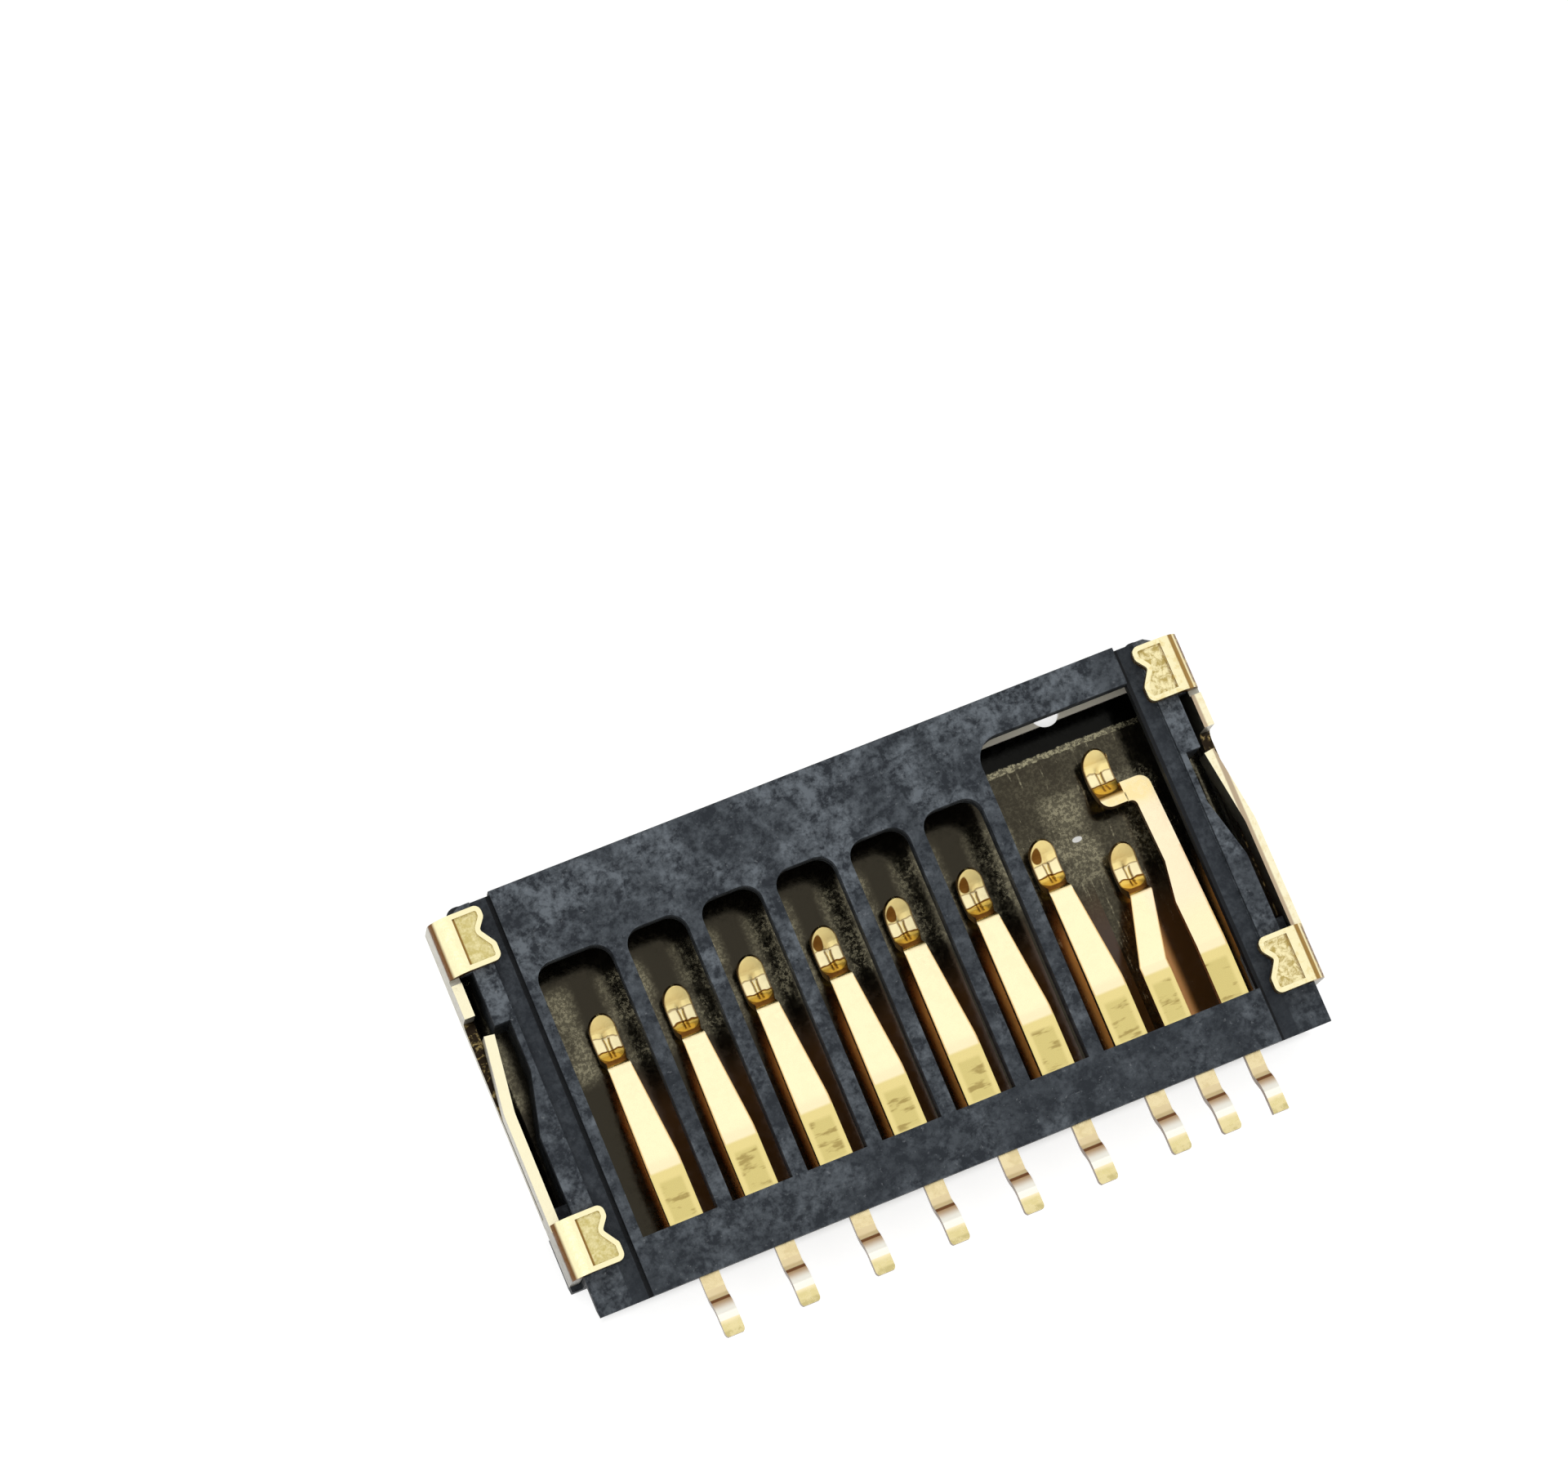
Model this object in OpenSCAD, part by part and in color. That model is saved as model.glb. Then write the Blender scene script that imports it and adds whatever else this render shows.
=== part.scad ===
/* [Card slot] */
// Pitch of the card's contact pads
pad_pitch = 1.1; // [1.08:0.01:1.12]
// Height of the room left for the card
card_room = 0.7; // [0.68:0.01:0.8]
// Distance from the first contact to the rail beside it
side_margin = 1.08; // [1.05:0.01:1.1]
// Depth of the slot from the mouth to the card stop
slot_depth = 5.58; // [5.5:0.02:5.6]

/* [Shell] */
// Thickness of the shell's sheet
sheet_t = 0.15; // [0.12:0.01:0.17]
// Outer radius of every fold
fold_r = 0.32; // [0.24:0.01:0.34]
// How far the far flange stands past the moulding
flange_proud = 0.04; // [0:0.01:0.08]
// Depth of the far flange below the plate's outer face
flange_drop = 0.8; // [0.5:0.05:0.8]
// How far the plate stands back from the slot's mouth
mouth_setback = 0.67; // [0.6:0.01:0.74]
// Width of each relief slit in the far edge
slit_w = 0.43; // [0.3:0.01:0.5]
// How far the middle of each relief slit stands in from the slot's side
slit_inset = 1.3; // [1.28:0.01:1.4]
// Depth of each relief slit from the far edge
slit_depth = 0.48; // [0.42:0.01:0.56]
// Width of the flat lug beside each relief slit
lug_w = 0.8; // [0.7:0.02:0.84]
// Radius of the scallop past each lug
scallop_r = 0.22; // [0.18:0.01:0.24]
// Depth of the scallop from the far ends of the side walls
scallop_depth = 0.18; // [0.1:0.01:0.2]
// How far the far ends of the side walls stand in from the far edge
wall_setback = 0.13; // [0.1:0.01:0.18]
// Radius of the rounded corners in the plate
plate_r = 0.15; // [0.08:0.01:0.18]

/* [Solder tabs] */
// Length of each tab along the wall
tab_len = 0.81; // [0.7:0.01:0.86]
// How far the side walls and their first tabs start behind the lip
wall_start = 0.59; // [0.56:0.01:0.62]
// Reach of each tab from the wall's outer face
tab_reach = 0.77; // [0.7:0.01:0.82]
// Depth of the bite in each tab's free edge
bite_depth = 0.15; // [0.08:0.01:0.18]
// Distance from a tab's far edge to the bottom of its bite
bite_at = 0.34; // [0.32:0.01:0.36]
// Length of the near ear beside the bite
near_ear = 0.24; // [0.22:0.01:0.26]
// Length of the far ear beside the bite
far_ear = 0.18; // [0.16:0.01:0.2]
// How much shorter the far ear reaches than the near ear
ear_short = 0.03; // [0:0.01:0.04]
// Radius of the ears' corners
ear_r = 0.1; // [0.09:0.01:0.11]
// Radius at the bottom of the bite
bite_r = 0.05; // [0.02:0.01:0.08]
// Width of the rim round each tab's coined face
rim_w = 0.07; // [0.05:0.01:0.08]
// Depth of the coined face below the rim
coin_d = 0.04; // [0.01:0.01:0.05]
// Height of the solder faces above the moulding's plate
standoff = 0.13; // [0.1:0.01:0.13]

/* [Side springs] */
// Height of the wall between the tabs
wall_h = 1; // [0.97:0.01:1.03]
// Height of the spring strip
spring_h = 0.42; // [0.3:0.02:0.44]
// Length of the part that leans in
spring_lean = 1.1; // [0.9:0.05:1.2]
// How far the free end leans in
spring_in = 0.15; // [0.08:0.01:0.16]
// Length of the opening in the wall past the free end
spring_gap = 0.32; // [0.2:0.02:0.36]
// Length of the plain wall between that opening and the far tab
spring_rest = 0.56; // [0.4:0.02:0.6]
// Width of the slit below the spring
spring_slit = 0.08; // [0.06:0.01:0.12]

/* [Housing] */
// Thickness of the wall that stops the card
stop_wall = 0.34; // [0.32:0.01:0.4]
// Thickness of the floor that holds the contacts
floor_t = 0.27; // [0.25:0.01:0.3]
// Width of each rail
rail_w = 0.33; // [0.3:0.01:0.36]
// How far the raised plate's sides stand in from the slot's sides
band_inset = 0.265; // [0.25:0.005:0.28]
// How far the lip's ends stand in from the shell's outer faces
lip_inset = 0.17; // [0.17:0.01:0.24]
// How far the rails' outer faces stand in from the walls
rail_inset = 0.19; // [0.19:0.01:0.22]
// Depth of the pocket that clears each spring
pocket_d = 0.22; // [0.16:0.01:0.22]
// How far the pocket runs past the spring's free end
pocket_run = 0.08; // [0.04:0.01:0.16]
// Depth of the sunk band between plate and rail
band_drop = 0.1; // [0.04:0.01:0.12]
// Width of the sunk band between plate and rail
band_w = 0.29; // [0.26:0.01:0.3]
// Bar that the contacts are moulded into
near_bar = 0.78; // [0.74:0.01:0.82]
// Bar between the contact slots and the far edge
far_bar = 1.2; // [1.1:0.02:1.24]
// Width of a contact slot
cut_w = 0.88; // [0.8:0.01:0.92]
// Extra width of the first slot
first_extra = 0.21; // [0:0.01:0.24]
// Radius in the far corners of the slots
cut_r = 0.26; // [0.15:0.01:0.3]
// How far the wide window runs past the slots
window_extra = 0.66; // [0.5:0.02:0.7]
// Radius in the far corner of the wide window
window_r = 0.35; // [0.2:0.01:0.4]
// Chamfer that leads the card in
lead_in = 0.12; // [0.05:0.01:0.12]
// Length of each corner post
post_len = 0.8; // [0.72:0.02:0.82]
// How far the posts' heads lie below the shell's outer face
post_sink = 0.02; // [0.01:0.01:0.05]
// Chamfer on the near edge of the posts' heads
post_chamfer = 0.08; // [0.04:0.01:0.12]
// Reach of the rails' feet past the side walls' far ends
foot_reach = 0.2; // [0.1:0.01:0.22]
// Height of the rails' feet
foot_h = 0.3; // [0.2:0.02:0.4]
// Radius at the end of the rails' feet
foot_r = 0.15; // [0.1:0.01:0.16]

/* [Contacts] */
// Thickness of the contact strip
strip_t = 0.12; // [0.1:0.01:0.13]
// Width of the strip at its root
root_w = 0.48; // [0.42:0.01:0.52]
// Width of the strip at the end of the beam
beam_w = 0.33; // [0.28:0.01:0.36]
// Width of the spoon that touches the card
spoon_w = 0.38; // [0.36:0.01:0.42]
// Flat length of the root past the bar
root_len = 0.86; // [0.8:0.02:0.9]
// Moulding that covers the roots towards the card
root_skin = 0.05; // [0.03:0.01:0.07]
// Length of the sloping beam
beam_len = 1.45; // [1.4:0.05:1.6]
// How far the beam slopes into the card's room
beam_fall = 0.39; // [0.36:0.01:0.4]
// How far the spoon dips below the beam's end
spoon_dip = 0.42; // [0.36:0.01:0.44]
// Reach of the spoon past the beam
spoon_len = 0.78; // [0.77:0.01:0.85]
// Radius of the spoon's bend
spoon_r = 0.35; // [0.3:0.01:0.36]
// Depth of the trough pressed along the spoon
trough_d = 0.04; // [0.02:0.005:0.05]
// Angle that the trough runs to each side of the bend's middle
trough_angle = 34; // [30:1:38]
// Width of a solder tail
tail_w = 0.28; // [0.22:0.01:0.34]
// Reach of the tails past the lip
tail_reach = 0.9; // [0.86:0.02:1.1]
// Length of the flat foot of a tail
foot_len = 0.38; // [0.36:0.02:0.5]
// Bend radius where a tail turns to its foot
foot_bend = 0.28; // [0.12:0.02:0.3]
// Length over which a tail steps up to its foot
step_len = 0.2; // [0.18:0.01:0.24]
// How far the strip stays as narrow as its tail inside the bar
neck_len = 0.26; // [0.2:0.02:0.4]
// Pitch from the last full-pitch tail to the short contact's tail
short_pitch = 0.75; // [0.7:0.01:0.78]
// Pitch from the short contact's tail to the card detect tail
detect_pitch = 0.7; // [0.68:0.01:0.72]
// How much the short contact's beam falls short of the others
short_by = 0.45; // [0.4:0.01:0.5]
// How far the short contact's spoon stands past its tail
short_jog = 0.28; // [0.2:0.01:0.3]
// How much narrower the short contact's root is than the others
short_trim = 0.08; // [0.04:0.01:0.12]
// How far the last two roots' middles stand apart from their tails
root_shift = 0.05; // [0.02:0.01:0.07]
// Width of the card detect contact at its root
detect_w = 0.54; // [0.5:0.01:0.56]
// Width of the card detect contact's arm
detect_arm_w = 0.3; // [0.26:0.01:0.32]
// Length of the card detect contact's arm from its bend
detect_len = 2.56; // [2.5:0.02:2.6]
// Length of the card detect spoon
detect_spoon = 0.72; // [0.68:0.01:0.74]
// Reach of the card detect spoon past its arm
detect_reach = 0.57; // [0.54:0.01:0.6]
// Length of the taper behind the card detect contact's arm
detect_taper = 1.28; // [1.1:0.02:1.4]
// Outer radius where the arm turns to the spoon
detect_r = 0.16; // [0.1:0.01:0.18]
// How far the card detect spoon stands in from its tail
detect_jog = 0.26; // [0.2:0.01:0.28]

/* [Fits] */
// Running gap between the moulding and the shell's walls
wall_gap = 0.02; // [0.01:0.005:0.03]

/* [Hidden] */
$fn = 48;

// What a cut runs past its face, and what joined solids share
over = 0.1;

// Steps in each bend of a strip
bend_steps = 5;

// Share of a spoon's length at which it dips deepest
dip_share = 0.44;

// Heights, from the shell's outer face up to the solder plane
floor_z = sheet_t + card_room;
plate_z = floor_z + floor_t;
solder_z = plate_z + standoff;
rail_z = solder_z - sheet_t;
band_z = plate_z - band_drop;
edge_z = solder_z - fold_r;
spring_z = wall_h - spring_h;
strip_z = spring_z - spring_slit;

// Depths, from the lip to the far edge
housing_d = slot_depth + stop_wall;
near_y = -housing_d / 2;
far_y = housing_d / 2;
flange_y = far_y + flange_proud;
stop_y = near_y + slot_depth;
mouth_y = near_y + mouth_setback;
cut_near_y = near_y + near_bar;
cut_far_y = far_y - far_bar;
window_far_y = cut_far_y + window_extra;

// Slots of their own, one under each full-pitch contact but the last, which shares the window
slots = 6;

// Places along the row of contacts
last_x = (slots - 1) * pad_pitch / 2;
first_x = last_x - slots * pad_pitch;
short_x = last_x + short_pitch;
detect_x = short_x + detect_pitch;
short_w = root_w - short_trim;
detect_end_x = detect_x + root_shift + detect_w / 2;

// Widths, from the first contact out to the walls
slot_x = side_margin - first_x;
rail_x = slot_x + rail_w;
wall_in = rail_x + rail_inset;
wall_out = wall_in + sheet_t;
fold_x = wall_out - fold_r;
seat_x = wall_in - wall_gap;
band_x = slot_x - band_inset;
rail_in_x = band_x + band_w;
lip_x = wall_out - lip_inset;
tab_x = wall_out - tab_reach;
slit_x = slot_x - slit_inset;
lug_x = slit_x + slit_w / 2 + lug_w;

// Stations along the side walls
wall_near_y = near_y + wall_start;
wall_far_y = far_y - wall_setback;
near_tab_y = wall_near_y + tab_len / 2;
far_tab_y = wall_far_y - tab_len / 2;
post_near_y = wall_near_y - post_chamfer;
post_far_y = post_near_y + post_len;
notch_y = post_far_y + plate_r;
spring_y = near_tab_y + tab_len / 2;
opening_y = far_tab_y - tab_len / 2 - spring_rest;
spring_far_y = opening_y - spring_gap;
lean_y = spring_far_y - spring_lean;
slit_near_y = spring_y + plate_r;

// Stations along the contacts
root_z = floor_z + root_skin + strip_t / 2;
foot_z = solder_z - strip_t / 2;
foot_y = near_y - tail_reach;
neck_y = near_y + neck_len;
bend_y = cut_near_y + root_len;
beam_y = bend_y + beam_len;
arm_y = bend_y + detect_len;
detect_tip_y = arm_y + detect_reach;

function unit(v) = v / norm(v);
function left(v) = [-v[1], v[0]];
function turned(v, a) = [v[0] * cos(a) - v[1] * sin(a), v[0] * sin(a) + v[1] * cos(a)];

// Signed angle from direction u to direction w
function turn(u, w) = atan2(u[0] * w[1] - u[1] * w[0], u[0] * w[0] + u[1] * w[1]);

// Middle of the bend of radius r that rounds the corner at p
function bend_middle(before, p, after, r) =
    let (u = unit(p - before), a = turn(u, unit(after - p)))
    p - u * r * tan(abs(a) / 2) + left(u) * r * sign(a);

// Points of that bend, offset by d to the left of the path
function bend_points(before, p, after, r, d) =
    let (u = unit(p - before), a = turn(u, unit(after - p)), s = sign(a),
         arm = -left(u) * s * (r - d * s))
    [for (i = [0:bend_steps])
        bend_middle(before, p, after, r) + turned(arm, a * i / bend_steps)];

// One side of a strip that follows a path of [y, z, bend radius]
function strip_side(path, d) =
    let (n = len(path), at = [for (p = path) [p[0], p[1]]])
    concat([at[0] + left(unit(at[1] - at[0])) * d],
           [for (i = [1:n - 2]) each bend_points(at[i - 1], at[i], at[i + 1], path[i][2], d)],
           [at[n - 1] + left(unit(at[n - 1] - at[n - 2])) * d]);

function reversed(points) = [for (i = [len(points) - 1:-1:0]) points[i]];

module strip_section(path, t) {
    polygon(concat(strip_side(path, t / 2), reversed(strip_side(path, -t / 2))));
}

// Stretches a section drawn in X and Z along the depth
module along_y(y0, y1) {
    translate([0, y1, 0]) rotate([90, 0, 0]) linear_extrude(y1 - y0) children();
}

// Stretches a section drawn in Y and Z across the width
module along_x(x0, x1) {
    translate([x0, 0, 0]) rotate([90, 0, 90]) linear_extrude(x1 - x0) children();
}

// Raises an outline drawn in X and Y
module up_z(z0, z1) {
    translate([0, 0, z0]) linear_extrude(z1 - z0) children();
}

module both_sides() {
    children();
    mirror([1, 0, 0]) children();
}

module rect(x, y) {
    translate([x[0], y[0]]) square([x[1] - x[0], y[1] - y[0]]);
}

// A rectangle whose far corners are rounded
module far_rounded(x, y, r) {
    rect(x, [y[0], y[1] - r]);
    rect([x[0] + r, x[1] - r], y);
    for (cx = [x[0] + r, x[1] - r]) translate([cx, y[1] - r]) circle(r);
}

// A bar whose far end is a half circle
module tongue(x, y) {
    r = (x[1] - x[0]) / 2;
    rect(x, [y[0], y[1] - r]);
    translate([x[0] + r, y[1] - r]) circle(r);
}

// Fills the inner corner at the origin that opens towards +X and -Y
module corner_fillet(r) {
    difference() {
        rect([-over, r], [-r, over]);
        translate([r, -r]) circle(r);
        translate([r, -r]) rect([-r, over], [-over, 0]);
    }
}

// A quarter of a fold, its middle at the origin, open to the left and up or down
module fold_section(way) {
    intersection() {
        difference() {
            circle(fold_r);
            circle(fold_r - sheet_t);
        }
        rect([0, fold_r], [min(0, way * fold_r), max(0, way * fold_r)]);
    }
}

// The shell is one folded sheet

module plate_outline() {
    tongue_x = rail_in_x - plate_r;
    difference() {
        union() {
            rect([-fold_x, fold_x], [notch_y, wall_far_y - scallop_depth]);
            rect([-slit_x, slit_x], [notch_y, flange_y - fold_r]);
            mirror([0, 1]) far_rounded([-tongue_x, tongue_x], [-notch_y - over, -mouth_y], plate_r);
            both_sides() {
                rect([slit_x, lug_x], [notch_y, flange_y + flange_proud]);
                rect([lug_x, fold_x], [notch_y, wall_far_y]);
                translate([tongue_x, notch_y]) corner_fillet(plate_r);
            }
        }
        both_sides() {
            translate([slit_x, flange_y - slit_depth + slit_w / 2]) {
                circle(slit_w / 2);
                rect([-slit_w / 2, slit_w / 2], [0, slit_depth]);
            }
            translate([lug_x + scallop_r, wall_far_y - scallop_depth + scallop_r]) circle(scallop_r);
        }
    }
}

module far_flange() {
    half = slit_x - slit_w / 2;
    along_x(-half, half) {
        translate([flange_y - fold_r, fold_r]) fold_section(-1);
        rect([flange_y - sheet_t, flange_y], [fold_r, flange_drop]);
    }
}

// The flat of a side wall in Y and Z, cut away for the post and round the spring
module wall_outline() {
    difference() {
        union() {
            rect([wall_near_y, spring_y], [fold_r, edge_z]);
            rect([spring_y - over, far_tab_y - tab_len / 2 - plate_r / 2], [fold_r, wall_h]);
            rect([far_tab_y - tab_len / 2 - over, wall_far_y], [fold_r, edge_z]);
        }
        rect([wall_near_y - over, notch_y], [0, fold_r + wall_gap]);
        rect([slit_near_y, opening_y - plate_r], [strip_z, solder_z]);
        rect([slit_near_y, opening_y], [strip_z + plate_r, solder_z]);
        translate([opening_y - plate_r, strip_z + plate_r]) circle(plate_r);
    }
}

// One of the four feet folded over the rails, which are soldered to the board
module solder_tab(y) {
    y0 = y - tab_len / 2;
    y1 = y + tab_len / 2;
    along_y(y0, y1) translate([fold_x, edge_z]) fold_section(1);
    up_z(rail_z, solder_z) polygon(strip_side(tab_path(y), 0));
}

// The coined face of a tab, sunk between the fold and a rim that follows the free edge
module coined_face(y) {
    up_z(solder_z - coin_d, solder_z + over) polygon(strip_side(tab_path(y), rim_w));
}

// A strip of the wall, cut free and bent in against the card's edge
module side_spring() {
    mid_x = wall_in + sheet_t / 2;
    path = [[spring_y, -mid_x, 0], [lean_y, -mid_x, spring_lean],
            [spring_far_y, spring_in - mid_x, 0]];
    up_z(spring_z, wall_h) rotate(90) strip_section(path, sheet_t);
}

// Outline of a tab as [x, y, corner radius], with its bite between a near and a far ear
function tab_path(y) =
    let (y0 = y - tab_len / 2, y1 = y + tab_len / 2, far_x = tab_x + ear_short)
    [[fold_x, y1, 0], [far_x, y1, ear_r], [far_x, y1 - far_ear, ear_r],
     [tab_x + bite_depth, y1 - bite_at, bite_r], [tab_x, y0 + near_ear, ear_r],
     [tab_x, y0, ear_r], [fold_x, y0, 0]];

module shell_side() {
    along_y(notch_y, wall_far_y) translate([fold_x, fold_r]) fold_section(-1);
    along_x(wall_in, wall_out) wall_outline();
    for (y = [near_tab_y, far_tab_y]) difference() {
        solder_tab(y);
        coined_face(y);
    }
    side_spring();
}

module shell() {
    color([0.78, 0.76, 0.68]) {
        up_z(0, sheet_t) plate_outline();
        far_flange();
        both_sides() shell_side();
    }
}

// The housing is one black moulding

module floor_openings() {
    for (i = [0:slots - 1]) {
        x = first_x + i * pad_pitch;
        extra = i == 0 ? first_extra : 0;
        far_rounded([x - cut_w / 2 - extra, x + cut_w / 2], [cut_near_y, cut_far_y], cut_r);
    }
    far_rounded([last_x - cut_w / 2, band_x], [cut_near_y, window_far_y], window_r);
    rect([band_x - window_r, band_x], [cut_near_y, window_far_y]);
}

// The plate and the sunk bands beside it, with a slot under each contact
module contact_floor() {
    difference() {
        union() {
            along_x(-band_x, band_x)
                polygon([[near_y, plate_z], [near_y, floor_z + lead_in], [near_y + lead_in, floor_z],
                         [far_y, floor_z], [far_y, plate_z]]);
            up_z(floor_z, band_z) rect([-rail_in_x, rail_in_x], [cut_near_y, far_y - flange_proud]);
        }
        up_z(floor_z - over, plate_z + over) floor_openings();
    }
}

// The sill at the mouth, chamfered to lead the card in
module lip() {
    along_x(-lip_x, lip_x)
        polygon([[near_y, band_z], [near_y, floor_z + lead_in], [near_y + lead_in, floor_z],
                 [wall_near_y, floor_z], [wall_near_y, band_z]]);
    up_z(floor_z, band_z) rect([-rail_x, rail_x], [wall_near_y - over, cut_near_y]);
}

// The rail's upper part, narrowed where the spring leans in
module rail_outline() {
    pocket_x = rail_x - pocket_d;
    pocket_far_y = spring_far_y + pocket_run;
    polygon([[slot_x, wall_near_y], [rail_x, wall_near_y], [rail_x, lean_y - pocket_d * 2],
             [pocket_x, lean_y + pocket_d * 2], [pocket_x, pocket_far_y], [rail_x, pocket_far_y],
             [rail_x, wall_far_y], [rail_x - plate_r, far_y - flange_proud],
             [slot_x, far_y - flange_proud]]);
}

// The block that a solder tab is folded over
module tab_seat(y) {
    along_y(y - tab_len / 2, y + tab_len / 2)
        polygon([[rail_in_x, floor_z], [seat_x, floor_z], [seat_x, edge_z - wall_gap],
                 [fold_x - wall_gap, rail_z], [rail_in_x, rail_z]]);
}

module rail() {
    up_z(sheet_t, floor_z + over) intersection() {
        rail_outline();
        rect([slot_x, rail_x], [post_near_y + over, wall_far_y]);
    }
    up_z(floor_z, rail_z) intersection() {
        rail_outline();
        rect([rail_in_x, rail_x], [wall_near_y, far_y]);
    }
    up_z(sheet_t, sheet_t + foot_h) rail_foot();
    up_z(floor_z, band_z) rect([slot_x, rail_in_x], [post_near_y, wall_far_y]);
    tab_seat(far_tab_y);
    tab_seat(near_tab_y);
}

// The rail's rounded end under the scallop in the plate
module rail_foot() {
    far_rounded([slot_x, rail_x], [wall_far_y - over, wall_far_y + foot_reach], foot_r);
}

// A post fills each near corner of the shell
module corner_post() {
    head_x = wall_out - wall_gap;
    along_x(slot_x, head_x)
        polygon([[post_near_y + post_chamfer, post_sink], [post_far_y, post_sink],
                 [post_far_y, fold_r], [post_near_y, fold_r], [post_near_y, post_sink + post_chamfer]]);
    up_z(fold_r - over, floor_z) rect([slot_x, seat_x], [post_near_y, post_far_y]);
    up_z(fold_r + wall_gap, floor_z) rect([slot_x, seat_x], [post_far_y - over, notch_y + plate_r]);
}

// The wall at the far end that stops the card, thin where the shell is scalloped
module card_stop() {
    flat_y = flange_y - sheet_t - wall_gap;
    up_z(sheet_t, floor_z) rect([-slot_x - over, slot_x + over], [stop_y, wall_far_y - scallop_depth]);
    along_x(-lug_x, lug_x)
        polygon([[stop_y, sheet_t], [flange_y - fold_r, sheet_t], [flat_y, fold_r + wall_gap],
                 [flat_y, floor_z], [stop_y, floor_z]]);
}

// The strips pass through the near bar face to face
module contact_channels() {
    for (i = [0:slots]) contact_root(first_x + i * pad_pitch, root_w, 0);
    contact_root(short_x, short_w, -root_shift);
    contact_root(detect_x, detect_w, root_shift);
}

module root_outline(x, w, shift, far) {
    rect([x - tail_w / 2, x + tail_w / 2], [foot_y, neck_y]);
    rect([x + shift - w / 2, x + shift + w / 2], [neck_y, far]);
}

// Room for one strip in the bar, carried on into the open slot so that no film is left at its end
module contact_root(x, w, shift) {
    up_z(root_z - strip_t / 2, root_z + strip_t / 2) intersection() {
        root_outline(x, w, shift, cut_near_y + over);
        rect([x - root_w, x + root_w], [near_y, cut_near_y + over]);
    }
}

module housing() {
    color([0.16, 0.18, 0.22]) difference() {
        union() {
            contact_floor();
            lip();
            card_stop();
            both_sides() {
                rail();
                corner_post();
            }
        }
        contact_channels();
    }
}

// The contacts are strips, stamped and bent

// Path of the strip's middle from the tail's foot to the end of the root
function tail_path() = [[foot_y, foot_z, 0], [foot_y + foot_len, foot_z, foot_bend],
                        [foot_y + foot_len + step_len, root_z, strip_t]];

// The beam's end and a spoon of the given length past it
function spoon_path(y, z, size) =
    let (k = size / spoon_len)
    [[y, z, strip_t], [y + size * dip_share, z - spoon_dip * k, spoon_r * k], [y + size, z, 0]];

module strip_along(path, x, w) {
    along_x(x - w, x + w) strip_section(path, strip_t);
}

// The trough pressed along the spoon, as a ring round the bend's middle
module spoon_ring(x, spoon, radius, thick, from) {
    at = [for (p = spoon) [p[0], p[1]]];
    middle = bend_middle(at[0], at[1], at[2], spoon[1][2]);
    translate([x, middle[0], middle[1]]) rotate([0, 90, 0]) rotate([0, 0, -trough_angle])
        rotate_extrude(angle = trough_angle * 2) intersection() {
            translate([radius, 0]) circle(thick);
            translate([from, -thick]) square([radius + thick, thick * 2]);
        }
}

// A strip with its spoon, before it is stamped to its outline
module formed_strip(x, spoon_x, spoon) {
    rib = spoon_w / 4;
    r = spoon[1][2];
    path = concat(tail_path(), [[bend_y, root_z, strip_t * 2]], spoon);
    difference() {
        union() {
            strip_along(path, x, pad_pitch / 2);
            spoon_ring(spoon_x, spoon, r + strip_t / 2 + trough_d - rib, rib, r);
        }
        spoon_ring(spoon_x, spoon, r - strip_t / 2 + trough_d - rib, rib, 0);
    }
}

module spoon_outline(x, y) {
    rect([x - beam_w / 2, x + beam_w / 2], [y, y + spoon_w]);
    tongue([x - spoon_w / 2, x + spoon_w / 2], [y + spoon_w / 2, y + spoon_len]);
}

module pad_contact(x, jog, shift, y, w) {
    color([0.93, 0.8, 0.45]) intersection() {
        formed_strip(x, x + jog, spoon_path(y, root_z - beam_fall, spoon_len));
        up_z(0, solder_z) {
            root_outline(x, w, shift, bend_y);
            polygon([[x + shift - w / 2, bend_y - over], [x + shift + w / 2, bend_y - over],
                     [x + shift + w / 2, bend_y], [x + jog + beam_w / 2, y],
                     [x + jog - beam_w / 2, y], [x + shift - w / 2, bend_y]]);
            spoon_outline(x + jog, y);
        }
    }
}

module full_contact(i) {
    pad_contact(first_x + (i - 1) * pad_pitch, 0, 0, beam_y, root_w);
}

module short_contact() {
    pad_contact(short_x, short_jog, -root_shift, beam_y - short_by, short_w);
}

// The card detect contact's arm, which turns in to its spoon
module detect_arm() {
    in_x = detect_x - detect_jog - spoon_w / 2;
    near_arm_y = arm_y - detect_arm_w;
    rect([in_x + detect_r, detect_end_x - detect_r], [near_arm_y, arm_y]);
    rect([in_x, detect_end_x - detect_arm_w], [near_arm_y + detect_r, arm_y]);
    translate([in_x + detect_r, near_arm_y + detect_r]) circle(detect_r);
    rect([detect_end_x - detect_arm_w, detect_end_x], [near_arm_y - over, arm_y - detect_r]);
    translate([detect_end_x - detect_r, arm_y - detect_r]) circle(detect_r);
    translate([detect_end_x - detect_arm_w, near_arm_y]) mirror([1, 0]) corner_fillet(detect_r / 2);
}

module detect_outline() {
    arm_x = detect_end_x - detect_arm_w;
    root_outline(detect_x, detect_w, root_shift, bend_y);
    polygon([[detect_end_x - detect_w, bend_y - over], [detect_end_x - detect_w, bend_y],
             [arm_x, bend_y + detect_taper], [arm_x, arm_y - detect_arm_w],
             [detect_end_x, arm_y - detect_arm_w], [detect_end_x, bend_y - over]]);
    detect_arm();
}

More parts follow.
